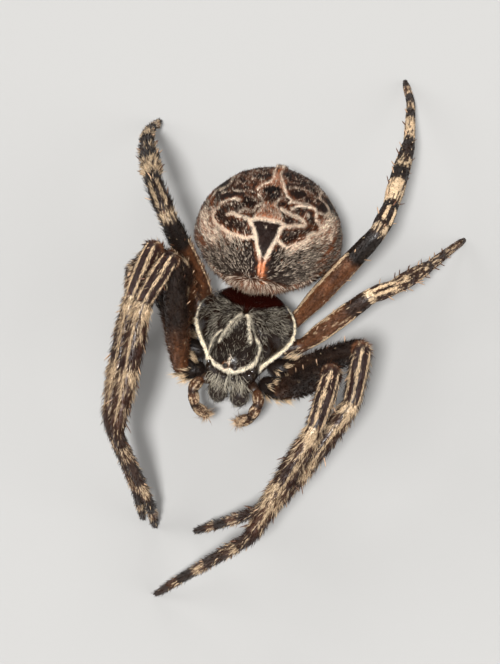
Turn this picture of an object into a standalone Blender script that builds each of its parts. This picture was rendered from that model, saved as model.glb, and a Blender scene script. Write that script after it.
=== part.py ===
"""Orb weaver spider, a grown female standing on its eight feet: the solids of a life-size model.

Lengths are in millimetres and angles in degrees, and MM makes them metres.
The head points along -Y, the spider's own left is +X, and the feet rest on z = 0.
The sizes reach out to the tips of the hair that covers the body.
"""

import math

import bmesh
import bpy
from mathutils import Matrix, Vector

MM = 0.001
GAP = 0.04  # left between two solids that meet

# The carapace: its rim lies in the body's own level plane, which tilts nose up.
BODY_HEIGHT = 3.15
BODY_PITCH, BODY_YAW = 11.0, -3.0
BODY_PIVOT_Y = 0.8
CARAPACE_FRONT, CARAPACE_REAR = -2.25, 2.85
RIM_HEIGHT = 0.14
BLUNTNESS = 10
UNDERSIDE = 0.1  # how far the closed underside bulges under the rim
DOME_POWER = 0.85  # under 1, the top is flatter and the flanks steeper than an ellipse
# Half width, then height over the rim's plane, at places from the front to the rear.
CARAPACE_WIDTHS = (
    (0.0, 1.0), (0.08, 1.13), (0.17, 1.17), (0.25, 1.2), (0.31, 1.38), (0.38, 1.63), (0.46, 1.87),
    (0.55, 2.07), (0.65, 2.17), (0.73, 2.09), (0.8, 1.91), (0.87, 1.67), (0.93, 1.43), (1.0, 1.2),
)
CARAPACE_HEIGHTS = ((0.0, 1.2), (0.14, 1.5), (0.36, 1.78), (0.60, 1.62), (0.86, 1.05), (1.0, 0.85))

# The sternum.
STERNUM_FRONT, STERNUM_LENGTH = -1.3, 3.1
STERNUM_LEVEL, STERNUM_DEPTH = -0.95, 0.25
STERNUM_WIDTHS = ((0.0, 0.55), (0.35, 0.85), (1.0, 0.35))

# The abdomen: an egg carried by a short stalk, its rear end low. Its half widths and its reaches above and
# under its own axis are given at places from the front to the rear.
ABDOMEN_CENTRE = (0.22, 4.98, 3.62)
ABDOMEN_PITCH, ABDOMEN_YAW = -31.0, -3.0
ABDOMEN_LENGTH = 7.7
ABDOMEN_FULLNESS = 2.2  # the power of its end to end curve: 2 is an ellipse, more is fuller
ABDOMEN_WIDTHS = ((0.0, 2.57), (0.48, 3.2), (1.0, 2.8))
ABDOMEN_TOPS = ((0.0, 2.58), (0.3, 2.74), (0.55, 2.92), (1.0, 2.5))
ABDOMEN_BOTTOMS = ((0.0, 0.6), (0.25, 0.9), (0.45, 1.9), (0.65, 2.5), (1.0, 2.2))
STALK = ((0.0, 2.0, -0.42), (0.0, 3.9, 0.1))
STALK_RADII = (0.24, 0.26, 0.3)

# The spinnerets: a low collar under the rear of the abdomen and four cones, in the abdomen's own axes.
SPINNERET_PLACE = (0.0, 2.28, -1.955)
SPINNERET_AXIS = (0.0, 0.507, -0.862)
COLLAR_RADII, COLLAR_DEPTH = (0.5, 0.45, 0.36), 0.16
CONE_RADII, CONE_LENGTH = (0.19, 0.16, 0.09), 0.42
CONE_SPREAD, CONE_LEAN = 0.22, 0.3

# Eyes: place on the head and radius. The two side eyes of each side share one swelling.
MIDDLE_EYES = {"front": (0.19, -2.16, 0.13), "rear": (0.21, -1.92, 0.12)}
SIDE_EYES = ((0.84, -1.88, 0.092), (0.93, -1.70, 0.092))
EYE_SINK = 0.4  # of its radius, how far each eye's centre lies under the shell
SOCKET_GAP = 0.02

# Legs, by pair: where the thigh starts on the body, the lengths from thigh to toe, and the radii.
LEG_ROOTS = {1: (2.2, -1.5, -0.42), 2: (2.45, -0.35, -0.42), 3: (2.45, 0.88, -0.42), 4: (1.88, 2.08, -0.42)}
COXA_INSET, COXA_GATHER, COXA_DROP = 0.52, 0.78, 0.32  # the inner end against that place: in, along, down
LEG_LENGTHS = {
    1: (5.9, 2.5, 5.2, 5.0, 1.7),
    2: (5.6, 2.4, 5.0, 4.8, 1.6),
    3: (3.95, 1.6, 2.7, 2.8, 1.25),
    4: (5.5, 1.9, 4.35, 4.5, 1.6),
}
LEG_THICKNESS = {1: 1.0, 2: 0.98, 3: 0.82, 4: 0.9}
COXA_RADII = (0.42, 0.48, 0.44)
FEMUR_RADII = (0.42, 0.53, 0.54, 0.50, 0.44)
PATELLA_RADII = (0.44, 0.47, 0.44)
TIBIA_RADII = (0.43, 0.48, 0.48, 0.45, 0.40)
FOOT_RADII = (0.33, 0.31, 0.29, 0.27)
THINNEST = 0.25
TOE_HEIGHT = 0.12

# Each leg's stance: heading and pitch of the thigh, knee piece, shin and metatarsus, then the toe's heading.
# The toe's pitch is whatever puts it on the floor.
STANCES = {
    "right_1": ((107, 64), (-106, 5), (-92, -27), (-41, -63), -14),
    "right_2": ((126, 65), (-100, -4), (-91, -23), (-49, -59), -29),
    "right_3": ((112, 77), (160, -27), (174, -65), (-76, -60), -104),
    "right_4": ((150, 68), (122, 7), (108, -40), (101.5, -55.5), 80),
    "left_1": ((-25, 66), (-96, -5), (-115, -33), (-164, -56), -154),
    "left_2": ((-11, 59), (-91, -11), (-119.5, -21), (175, -60), -177),
    "left_3": ((35, 37.5), (50, -37.5), (56.5, -31), (67, -41.5), 63.5),
    "left_4": ((46, 40.5), (81, -27.5), (87, -21), (96, -36), 109.5),
}

# Mouth parts, in the body's own axes.
CHELICERA = ((0.49, -1.80, -0.38), (0.44, -1.68, -1.5))
CHELICERA_RADII = (0.38, 0.44, 0.42, 0.28)
FANG = ((0.44, -1.72, -1.92), (0.1, -1.35, -1.96))
FANG_RADII = (0.11, 0.10, 0.06)
PALP_JOINTS = ((1.17, -1.78, -0.38), (1.42, -2.42, -0.28), (1.2, -2.82, -0.95), (0.68, -2.78, -1.5))
PALP_RADII = (0.25, 0.27, 0.26, 0.25)

# The middle of the footprint, taken off every place so that the model stands on its own origin.
FOOTPRINT_MIDDLE = (1.12, 2.56)


def finish(name, colour, roughness, metallic=0.0):
    material = bpy.data.materials.new(name)
    material.use_nodes = True
    shader = material.node_tree.nodes["Principled BSDF"]
    shader.inputs["Base Color"].default_value = (*colour, 1.0)
    shader.inputs["Roughness"].default_value = roughness
    shader.inputs["Metallic"].default_value = metallic
    return material


def clear_scene():
    for thing in list(bpy.data.objects):
        bpy.data.objects.remove(thing, do_unlink=True)


def between(stops, at):
    """The value at a place along a few (place, value) stops, eased from each stop to the next."""
    for (place, value), (next_place, next_value) in zip(stops, stops[1:]):
        if at <= next_place:
            share = (at - place) / (next_place - place)
            eased = share * share * (3 - 2 * share)
            return value + (next_value - value) * eased
    return stops[-1][1]


def flowing(stops, at):
    """The value at a place along a few (place, value) stops, on one smooth curve through them."""
    index = min(sum(at > place for place, _ in stops[1:]), len(stops) - 2)
    (place, value), (next_place, next_value) = stops[index : index + 2]
    before, after = stops[max(index - 1, 0)], stops[min(index + 2, len(stops) - 1)]
    width = next_place - place
    slope = width * (next_value - before[1]) / (next_place - before[0])
    next_slope = width * (after[1] - value) / (after[0] - place)
    t = (at - place) / width
    rise = t * t * (3 - 2 * t)
    return value + (next_value - value) * rise + slope * t * (1 - t) ** 2 - next_slope * t * t * (1 - t)


def keep(bm, name, material):
    """Makes the finished shape an object, in metres, about the middle of the footprint."""
    bmesh.ops.translate(bm, verts=bm.verts, vec=(-FOOTPRINT_MIDDLE[0], -FOOTPRINT_MIDDLE[1], 0))
    bmesh.ops.scale(bm, verts=bm.verts, vec=(MM, MM, MM))
    bmesh.ops.recalc_face_normals(bm, faces=bm.faces)
    mesh = bpy.data.meshes.new(name)
    bm.to_mesh(mesh)
    bm.free()
    mesh.shade_smooth()
    mesh.materials.append(material)
    thing = bpy.data.objects.new(name, mesh)
    bpy.context.scene.collection.objects.link(thing)
    return thing


def combine(thing, helper, operation):
    """Adds the helper to a solid or takes it away, and leaves the helper out of the model."""
    helper.hide_render = True
    helper.display_type = "WIRE"
    boolean = thing.modifiers.new(helper.name, "BOOLEAN")
    boolean.operation = operation
    boolean.use_self = True
    boolean.object = helper


def ringed_shape(bm, sides, rings, place):
    """A closed body of rings from one pole to the other. place(share, turn) gives each point."""
    made = bmesh.ops.create_uvsphere(bm, u_segments=sides, v_segments=rings, radius=1.0)
    for vert in made["verts"]:
        share = math.acos(max(-1.0, min(1.0, vert.co.z))) / math.pi
        turn = math.atan2(vert.co.y, vert.co.x)
        vert.co = place(share, turn)
    return made["verts"]


def limb_shape(bm, joints, radii, sides):
    """A round tapering limb along its joints. Each end is a half ball about its joint."""
    lengths = [(b - a).length for a, b in zip(joints, joints[1:])]
    total = sum(lengths)
    stations = [(-radii[0], 0.0), (-0.7 * radii[0], 0.7 * radii[0])]
    stations += [(total * i / (len(radii) - 1), radius) for i, radius in enumerate(radii)]
    stations += [(total + 0.7 * radii[-1], 0.7 * radii[-1]), (total + radii[-1], 0.0)]
    directions = [(b - a).normalized() for a, b in zip(joints, joints[1:])]
    side = directions[0].orthogonal().normalized()

    def place(share, turn):
        distance, radius = stations[round(share * (len(stations) - 1))]
        start, index = 0.0, 0
        while index < len(lengths) - 1 and distance > start + lengths[index]:
            start += lengths[index]
            index += 1
        along = directions[index]
        flat = (side - along * side.dot(along)).normalized()
        ring = flat * math.cos(turn) + along.cross(flat) * math.sin(turn)
        return joints[index] + along * (distance - start) + ring * radius

    return ringed_shape(bm, sides, len(stations) - 1, place)


def cut_off(bm, point, normal):
    """Cuts off what lies past a plane and closes the cut."""
    geometry = bm.verts[:] + bm.edges[:] + bm.faces[:]
    cut = bmesh.ops.bisect_plane(bm, geom=geometry, plane_co=point, plane_no=normal, clear_outer=True)
    edges = [edge for edge in cut["geom_cut"] if isinstance(edge, bmesh.types.BMEdge)]
    bmesh.ops.edgeloop_fill(bm, edges=edges)


def mitre(bm, point, before, after, first):
    """Cuts a limb at a joint along the plane halfway through the bend, half a gap short of it."""
    normal = (before + after).normalized()
    if first:
        cut_off(bm, point - normal * GAP / 2, normal)
    else:
        cut_off(bm, point + normal * GAP / 2, -normal)


def body_frame():
    pivot = Matrix.Translation((0, BODY_PIVOT_Y, BODY_HEIGHT))
    yaw = Matrix.Rotation(math.radians(BODY_YAW), 4, "Z")
    tilt = Matrix.Rotation(-math.radians(BODY_PITCH), 4, "X")
    return pivot @ yaw @ tilt @ Matrix.Translation((0, -BODY_PIVOT_Y, 0))


def abdomen_frame():
    turn = Matrix.Rotation(math.radians(ABDOMEN_YAW), 4, "Z")
    droop = Matrix.Rotation(math.radians(ABDOMEN_PITCH), 4, "X")
    return Matrix.Translation(ABDOMEN_CENTRE) @ turn @ droop


def mirrored(point, side):
    return Vector((point[0] * side, point[1], point[2]))


def heading_vector(heading, pitch):
    level = math.cos(math.radians(pitch))
    angle = math.radians(heading)
    return Vector((level * math.cos(angle), level * math.sin(angle), math.sin(math.radians(pitch))))


def carapace_section(y):
    """Half the carapace's width and its height over the rim, at a place along the body."""
    along = (y - CARAPACE_FRONT) / (CARAPACE_REAR - CARAPACE_FRONT)
    rounding = math.sqrt(max(0.0, 1 - abs(2 * along - 1) ** BLUNTNESS))
    height = flowing(CARAPACE_HEIGHTS, along) - RIM_HEIGHT
    return flowing(CARAPACE_WIDTHS, along) * rounding, height * rounding


def dome(height, rise):
    return RIM_HEIGHT + height * rise**DOME_POWER


def eye_centre(x, y, radius):
    """Where an eye's centre lies in the body's own axes, a little under the carapace's top."""
    width, height = carapace_section(y)
    return x, y, dome(height, math.sqrt(1 - (x / width) ** 2)) - radius * EYE_SINK


def eye_places():
    """Each eye's name, centre and radius, on the left side."""
    places = [(row, eye_centre(*eye), eye[2]) for row, eye in MIDDLE_EYES.items()]
    return places + [("side", eye_centre(*eye), eye[2]) for eye in SIDE_EYES]


def carapace(material):
    frame = body_frame()
    length = CARAPACE_REAR - CARAPACE_FRONT

    def place(share, turn):
        y = CARAPACE_FRONT + length * (1 - math.cos(math.pi * share)) / 2
        width, height = carapace_section(y)
        rise = math.sin(turn)
        z = dome(height, rise) if rise > 0 else RIM_HEIGHT + UNDERSIDE * rise
        return frame @ Vector((width * math.cos(turn), y, z))

    bm = bmesh.new()
    ringed_shape(bm, 28, 18, place)
    head = keep(bm, "carapace", material)
    sockets = bmesh.new()
    for side in (1, -1):
        for _, centre, radius in eye_places():
            ball_shape(sockets, frame @ mirrored(centre, side), radius + SOCKET_GAP, 12, 8)
    combine(head, keep(sockets, "sockets", material), "DIFFERENCE")


def ball_shape(bm, centre, radius, sides, rings):
    made = bmesh.ops.create_uvsphere(bm, u_segments=sides, v_segments=rings, radius=radius)
    bmesh.ops.translate(bm, verts=made["verts"], vec=centre)


def eyes(material):
    frame = body_frame()
    for side, side_name in ((1, "left"), (-1, "right")):
        places = {name: [] for name, _, _ in eye_places()}
        for name, centre, radius in eye_places():
            places[name].append((frame @ mirrored(centre, side), radius))
        for name, balls in places.items():
            bm = bmesh.new()
            if len(balls) == 1:
                ball_shape(bm, *balls[0], 10, 8)
            else:
                limb_shape(bm, [centre for centre, _ in balls], [radius for _, radius in balls], 10)
            keep(bm, f"eye_{side_name}_{name}", material)


def sternum(material):
    """The plate under the body that the coxae stand around."""
    frame = body_frame()

    def place(share, turn):
        along = (1 - math.cos(math.pi * share)) / 2
        rounding = math.sqrt(max(0.0, 1 - abs(2 * along - 1) ** 4))
        width = between(STERNUM_WIDTHS, along) * rounding * math.cos(turn)
        z = STERNUM_LEVEL + STERNUM_DEPTH * rounding * math.sin(turn)
        return frame @ Vector((width, STERNUM_FRONT + STERNUM_LENGTH * along, z))

    bm = bmesh.new()
    ringed_shape(bm, 12, 10, place)
    keep(bm, "sternum", material)


def abdomen(material):
    frame = abdomen_frame()

    def place(share, turn):
        along = (1 - math.cos(math.pi * share)) / 2
        rounding = math.sqrt(max(0.0, 1 - abs(2 * along - 1) ** ABDOMEN_FULLNESS))
        rise = math.sin(turn)
        reach = between(ABDOMEN_TOPS if rise > 0 else ABDOMEN_BOTTOMS, along)
        width = between(ABDOMEN_WIDTHS, along)
        return frame @ Vector((
            width * rounding * math.cos(turn),
            ABDOMEN_LENGTH * (along - 0.5),
            reach * rounding * rise,
        ))

    bm = bmesh.new()
    ringed_shape(bm, 30, 20, place)
    egg = keep(bm, "abdomen", material)
    bm = bmesh.new()
    limb_shape(bm, [body_frame() @ Vector(end) for end in STALK], STALK_RADII, 12)
    stalk = keep(bm, "stalk", material)
    combine(egg, stalk, "UNION")


def spinnerets(material):
    frame = abdomen_frame()
    place = frame @ Vector(SPINNERET_PLACE)
    axis = (frame.to_3x3() @ Vector(SPINNERET_AXIS)).normalized()
    side = frame.to_3x3() @ Vector((1, 0, 0))
    forward = side.cross(axis)
    bm = bmesh.new()
    limb_shape(bm, [place, place + axis * COLLAR_DEPTH], COLLAR_RADII, 12)
    cut_off(bm, place + axis * GAP, -axis)
    collar = keep(bm, "spinnerets", material)
    cones = bmesh.new()
    for across in (1, -1):
        for along in (1, -1):
            spread = (side * across + forward * along) * CONE_SPREAD
            foot = place + spread + axis * COLLAR_DEPTH
            tip = foot + axis * CONE_LENGTH - spread * CONE_LEAN
            limb_shape(cones, [foot, tip], CONE_RADII, 8)
    combine(collar, keep(cones, "spinneret cones", material), "UNION")


def mouth_parts(shell, claw, flesh):
    frame = body_frame()
    for side, side_name in ((1, "left"), (-1, "right")):
        for name, ends, radii, material in (
            ("chelicera", CHELICERA, CHELICERA_RADII, shell),
            ("fang", FANG, FANG_RADII, claw),
        ):
            bm = bmesh.new()
            limb_shape(bm, [frame @ mirrored(end, side) for end in ends], radii, 10)
            keep(bm, f"{name}_{side_name}", material)
        joints = [frame @ mirrored(joint, side) for joint in PALP_JOINTS]
        knee = joints[1]
        before, after = (joints[1] - joints[0]).normalized(), (joints[2] - joints[1]).normalized()
        bm = bmesh.new()
        limb_shape(bm, joints[:2], PALP_RADII[:3], 8)
        mitre(bm, knee, before, after, True)
        keep(bm, f"palp_{side_name}_upper", flesh)
        bm = bmesh.new()
        limb_shape(bm, joints[1:], PALP_RADII, 8)
        mitre(bm, knee, before, after, False)
        keep(bm, f"palp_{side_name}_lower", flesh)


def leg_joints(pair, side, stance):
    """From where the coxa leaves the body to the toe."""
    frame = body_frame()
    root = frame @ mirrored(LEG_ROOTS[pair], side)
    out, along, up = LEG_ROOTS[pair]
    inner = (out * COXA_INSET, along * COXA_GATHER, up - COXA_DROP)
    joints = [frame @ mirrored(inner, side), root]
    for (heading, pitch), length in zip(stance[:4], LEG_LENGTHS[pair]):
        joints.append(joints[-1] + heading_vector(heading, pitch) * length)
    toe = LEG_LENGTHS[pair][4]
    pitch = -math.degrees(math.asin(min(1.0, (joints[-1].z - TOE_HEIGHT) / toe)))
    joints.append(joints[-1] + heading_vector(stance[4], pitch) * toe)
    return joints


def leg(pair, side, side_name, flesh):
    joints = leg_joints(pair, side, STANCES[f"{side_name}_{pair}"])
    directions = [(b - a).normalized() for a, b in zip(joints, joints[1:])]
    pieces = (
        ("coxa", 0, 1, COXA_RADII, 8),
        ("femur", 1, 2, FEMUR_RADII, 10),
        ("patella", 2, 3, PATELLA_RADII, 10),
        ("tibia", 3, 4, TIBIA_RADII, 10),
        ("foot", 4, 6, FOOT_RADII, 8),
    )
    for name, first, last, radii, sides in pieces:
        thickness = LEG_THICKNESS[pair]
        radii = [max(THINNEST, radius * thickness) for radius in radii]
        bm = bmesh.new()
        limb_shape(bm, joints[first : last + 1], radii, sides)
        if first > 0:
            mitre(bm, joints[first], directions[first - 1], directions[first], False)
        if last < 6:
            mitre(bm, joints[last], directions[last - 1], directions[last], True)
        else:
            cut_off(bm, Vector((0, 0, 0)), Vector((0, 0, -1)))
        keep(bm, f"leg_{side_name}_{pair}_{name}", flesh)


def main():
    clear_scene()
    bpy.context.scene.unit_settings.scale_length = 1.0
    shell = finish("dark_shell", (0.05, 0.035, 0.025), 0.35)
    flesh = finish("banded_leg", (0.22, 0.13, 0.07), 0.55)
    back = finish("patterned_back", (0.2, 0.14, 0.1), 0.6)
    eye = finish("eye", (0.01, 0.008, 0.006), 0.08)
    claw = finish("fang", (0.06, 0.015, 0.01), 0.2)
    carapace(shell)
    eyes(eye)
    sternum(shell)
    abdomen(back)
    spinnerets(flesh)
    mouth_parts(shell, claw, flesh)
    for side, side_name in ((1, "left"), (-1, "right")):
        for pair in LEG_ROOTS:
            leg(pair, side, side_name, flesh)


main()
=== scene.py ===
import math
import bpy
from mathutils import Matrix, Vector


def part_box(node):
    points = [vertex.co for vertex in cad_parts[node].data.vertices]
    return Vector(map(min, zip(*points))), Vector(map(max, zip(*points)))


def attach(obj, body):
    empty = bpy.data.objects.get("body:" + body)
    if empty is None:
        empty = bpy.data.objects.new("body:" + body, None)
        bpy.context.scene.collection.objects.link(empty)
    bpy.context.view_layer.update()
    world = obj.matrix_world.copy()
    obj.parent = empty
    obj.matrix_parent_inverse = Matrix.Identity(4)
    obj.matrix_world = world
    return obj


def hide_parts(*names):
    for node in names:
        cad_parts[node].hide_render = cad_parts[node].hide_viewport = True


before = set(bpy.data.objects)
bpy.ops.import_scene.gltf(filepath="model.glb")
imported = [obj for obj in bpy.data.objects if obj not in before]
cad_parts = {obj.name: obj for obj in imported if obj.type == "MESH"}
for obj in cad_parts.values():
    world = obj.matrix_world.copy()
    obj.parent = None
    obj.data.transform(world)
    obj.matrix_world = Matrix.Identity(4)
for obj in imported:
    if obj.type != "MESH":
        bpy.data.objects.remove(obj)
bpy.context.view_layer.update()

# Orb weaver spider, a grown female standing on its eight feet: the looks of a life-size model.
#
# Lengths in the tables are in millimetres and angles in degrees, on the axes of the solids: the head
# points along -Y, the spider's own left is +X, and the feet rest on z = 0. The skins of the abdomen and the
# carapace lie inside the solids by the depth of their coats, and a coat is a mesh of fine spikes on a skin.

from types import SimpleNamespace

import bmesh
import bpy
import numpy as np
from mathutils import Vector, kdtree

MM = 0.001

# ---- the body's own axes and its outer surfaces, as the solids have them

BODY_TURN = (-3.0, -11.0)  # yaw, then pitch about X
CARAPACE_FRONT, CARAPACE_LENGTH = -2.25, 5.1
RIM_HEIGHT, UNDERSIDE, BLUNTNESS, DOME_POWER = 0.14, 0.1, 10, 0.85
CARAPACE_WIDTHS = (
    (0.0, 1.0), (0.08, 1.13), (0.17, 1.17), (0.25, 1.2), (0.31, 1.38), (0.38, 1.63), (0.46, 1.87),
    (0.55, 2.07), (0.65, 2.17), (0.73, 2.09), (0.8, 1.91), (0.87, 1.67), (0.93, 1.43), (1.0, 1.2),
)
CARAPACE_HEIGHTS = ((0.0, 1.2), (0.14, 1.5), (0.36, 1.78), (0.60, 1.62), (0.86, 1.05), (1.0, 0.85))
FOVEA = (0.02, 0.72)  # where the furrows of the carapace meet
LOOK = (0.07, -0.56, 0.82)  # widths of the carapace's pattern are told as seen from this side

ABDOMEN_TURN = (-3.0, -31.0)
ABDOMEN_LENGTH, ABDOMEN_FULLNESS = 7.7, 2.2
ABDOMEN_WIDTHS = ((0.0, 2.57), (0.48, 3.2), (1.0, 2.8))
ABDOMEN_TOPS = ((0.0, 2.58), (0.3, 2.74), (0.55, 2.92), (1.0, 2.5))
ABDOMEN_BOTTOMS = ((0.0, 0.6), (0.25, 0.9), (0.45, 1.9), (0.65, 2.5), (1.0, 2.2))
STALK = ((0.0, 1.9, -0.42), (0.0, 4.0, 0.1))

# ---- how deep each coat is, and how the spikes of a coat are made

BODY_COAT, HEAD_COAT = 0.10, 0.07
ROOT_DEPTH = 0.02
PATCH = 0.003  # a spike's own patch on the bake map
MAP_EDGE, COAT_MAP_EDGE = 0.004, 0.002  # what is left free round the bake map of a skin and of a coat
MOST_TRIANGLES = 195000

# ---- the pattern on the abdomen, drawn on its back laid flat about its front end: tenths of the way from
# the front end to the rear end, across (left positive) and backwards

FLAT = 10.0
BACK_LINES = {
    "heart left": (
        (-0.8, 2.9), (-0.4, 2.55), (-0.2, 2.25), (0.05, 1.8), (0.25, 1.4), (0.3, 1.05), (0.33, 0.55),
    ),
    "heart right": (
        (1.05, 3.0), (0.95, 2.75), (0.85, 2.4), (0.7, 2.0), (0.55, 1.55), (0.5, 1.15), (0.52, 0.6),
    ),
    "left lobe": (
        (-0.3, 2.35), (-0.75, 2.15), (-1.2, 2.1), (-1.6, 2.0), (-2.3, 1.95), (-2.75, 1.95), (-3.0, 2.1),
        (-3.05, 2.35), (-2.95, 2.65), (-2.85, 3.0), (-2.55, 3.3), (-2.15, 3.55), (-1.8, 3.6),
    ),
    "left branch": ((-0.8, 2.95), (-1.2, 2.95), (-1.6, 2.9), (-2.0, 2.85), (-2.2, 2.65)),
    "right branch": (
        (1.05, 3.0), (1.4, 2.95), (1.8, 3.0), (2.15, 3.0), (2.1, 3.2), (1.7, 3.4), (1.25, 3.55), (0.7, 3.75),
    ),
    "right lobe": (
        (0.88, 2.33), (1.15, 2.2), (1.5, 2.0), (1.95, 2.1), (2.25, 2.1), (2.45, 2.25), (2.45, 2.4),
        (2.7, 2.5), (3.0, 2.45), (3.2, 2.5), (3.1, 2.75), (2.9, 3.0), (2.8, 3.3), (2.85, 3.55), (2.7, 3.75),
        (2.35, 3.9), (1.9, 3.95), (1.5, 3.95), (1.3, 3.85),
    ),
    "heart top": ((-0.8, 2.95), (-0.4, 3.1), (0.1, 3.15), (0.6, 3.15), (1.05, 3.05)),
    "rear peak": (
        (-1.0, 4.4), (-0.95, 4.6), (-0.75, 4.8), (-0.45, 5.0), (-0.4, 5.4), (-0.65, 6.0), (-0.6, 6.6),
        (-0.3, 7.0), (-0.05, 6.5), (0.05, 5.6), (0.4, 5.1), (0.65, 4.7), (0.85, 4.4), (1.15, 4.3),
    ),
}
FINE_LINES = {
    "left scallop": ((-1.5, 3.1), (-1.25, 3.35), (-0.95, 3.3), (-0.75, 3.4), (-0.7, 3.55), (-0.5, 3.8)),
    "left spur": ((-1.6, 2.0), (-1.5, 1.85), (-1.6, 1.65)),
    "right scallop": ((1.0, 4.1), (1.35, 4.15), (1.85, 4.1), (2.25, 4.05), (2.55, 3.85)),
    "column left": (
        (-0.6, 3.1), (-0.55, 3.3), (-0.4, 3.5), (-0.3, 3.7), (-0.4, 3.9), (-0.6, 4.1), (-0.85, 4.2),
    ),
    "column right": ((0.85, 3.3), (0.7, 3.55), (0.45, 3.75), (0.3, 3.95), (0.45, 4.2), (0.75, 4.35)),
    "left row": ((-3.3, 3.35), (-2.6, 3.8), (-2.0, 4.0), (-1.5, 4.2), (-1.0, 4.25)),
    "right row": ((0.9, 4.9), (1.5, 4.9), (2.1, 4.8), (2.6, 4.6)),
}
BORDER_LINES = {
    "left border": (
        (-2.4, 7.0), (-3.3, 6.0), (-4.0, 5.0), (-4.4, 4.3), (-3.7, 4.35), (-3.3, 4.0), (-3.5, 3.55),
        (-4.1, 3.05), (-4.0, 2.65),
    ),
    "right border": (
        (2.6, 7.0), (3.5, 6.2), (4.05, 5.5), (4.05, 4.8), (3.4, 4.55), (3.25, 4.25), (3.6, 4.0), (3.9, 3.6),
        (3.95, 3.3), (3.5, 3.25), (3.1, 3.5),
    ),
    "right edge": ((5.0, 4.2), (5.4, 3.2), (5.6, 2.4), (5.6, 1.7)),
}
HEART = (
    (-0.7, 3.0), (0.2, 3.1), (0.98, 3.0), (0.85, 2.6), (0.62, 2.0), (0.42, 1.45), (0.3, 1.5), (0.0, 2.05),
    (-0.3, 2.5),
)
LEFT_LOBE = (
    (-0.4, 2.4), (-1.2, 2.15), (-2.3, 2.0), (-2.95, 2.1), (-2.95, 2.6), (-2.8, 3.0), (-2.5, 3.3), (-1.8, 3.6),
    (-0.9, 3.4), (-0.8, 2.9),
)
RIGHT_LOBE = (
    (0.95, 2.4), (1.5, 2.05), (2.4, 2.3), (2.7, 2.5), (3.15, 2.55), (2.85, 3.1), (2.8, 3.5), (2.4, 3.85),
    (1.3, 3.8), (0.9, 3.6), (1.1, 2.95),
)
COLUMN = (
    (-0.6, 3.05), (0.85, 3.15), (0.8, 3.4), (0.45, 3.75), (0.3, 3.95), (-0.35, 3.95), (-0.4, 3.6),
    (-0.6, 3.3),
)
PEAK = (
    (-0.95, 4.6), (-0.45, 5.0), (-0.5, 6.2), (-0.1, 6.8), (0.05, 5.6), (0.4, 5.1), (0.65, 4.7), (-0.1, 4.8),
)
# Spots: the middle and the radius.
DARK_SPOTS = (
    ((-0.1, 4.45), 0.42), ((-0.4, 6.1), 0.2), ((0.0, 3.9), 0.1), ((-0.1, 3.55), 0.09), ((0.25, 3.6), 0.07),
)
PALE_SPOTS = (((0.15, 2.85), 0.06), ((2.28, 3.48), 0.1), ((-2.2, 3.23), 0.08), ((-1.3, 3.35), 0.05))
MIDDLE = 0.2  # the pattern's own middle line lies this far to the left
FRINGE_LINE, FRINGE_BEND = 0.15, 0.17  # the fringe hangs over the carapace along this line
FOOT_TUFT = (0.42, 0.38)  # the orange tuft where the two lines of the heart end
CREST = (-0.3, 6.8)  # the small pale crest on the top of the rear slope
DIMPLES = ((0.95, 2.6), (1.05, 4.0), (0.8, 5.3))  # each pair: half the way between the two, and how far back
SHOULDERS = (((-3.2, 1.5), (1.5, 0.85)), ((3.6, 2.4), (1.4, 0.95)))  # the bright places: middle and radii

# ---- the pattern on the carapace, on its own level plane

HEAD_BAND = (
    (-0.80, -0.40), (-1.04, -0.62), (-1.15, -0.8), (-1.16, -1.05), (-1.09, -1.35), (-0.88, -1.7),
    (-0.58, -1.9), (-0.28, -2.0), (-0.05, -2.05), (0.32, -1.98), (0.66, -1.8), (0.91, -1.45), (1.02, -1.04),
    (1.06, -0.72), (0.98, -0.56), (0.8, -0.48),
)
NECK_LINES = (
    ((-0.12, 0.5), (-0.27, 0.29), (-0.45, -0.13), (-0.62, -0.54), (-0.78, -0.9)),
    ((0.08, 0.55), (0.24, 0.21), (0.43, -0.32), (0.63, -0.73)),
)
FAINT_LINES = (((-0.05, 0.4), (-0.27, -0.18), (-0.5, -0.77)), ((0.26, 0.53), (0.48, 0.01), (0.8, -0.45)))
BROW_STREAK = ((-0.11, -1.55), (-0.09, -1.75), (-0.10, -1.95))
ORANGE_SPOT = (-0.24, -1.92)  # the small orange tuft beside the front eyes
BARE_PATCHES = (((-1.56, -0.02), 0.36), ((1.45, -0.3), 0.42))
BARE_REAR = (0.85, 0.62)  # where the bare rear slope starts on the middle line, and how fast it widens

# ---- legs: radii of the skin along each length, as shares of that length

LEG_NODES = ("coxa", "femur", "patella", "tibia", "foot")
LEG_LENGTH_NAMES = ("coxa", "femur", "patella", "tibia", "metatarsus", "tarsus")
LEG_SHAPE = {
    "coxa": ((0.0, 0.35), (0.5, 0.42), (0.88, 0.37)),
    "femur": ((0.05, 0.33), (0.3, 0.45), (0.6, 0.46), (0.85, 0.42), (0.97, 0.38)),
    "patella": ((0.08, 0.37), (0.4, 0.41), (0.85, 0.38), (0.97, 0.35)),
    "tibia": ((0.06, 0.35), (0.25, 0.41), (0.6, 0.39), (0.93, 0.31), (0.99, 0.26)),
    "metatarsus": ((0.05, 0.25), (0.2, 0.245), (0.9, 0.19)),
    "tarsus": ((0.08, 0.18), (0.5, 0.17), (0.97, 0.11)),
}
LEG_THICKNESS = {1: 1.0, 2: 0.98, 3: 0.82, 4: 0.9}
KNEE_ROUNDING = 0.26
MEETING = 0.34  # points of two nodes this close are on the ends that face each other

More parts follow.
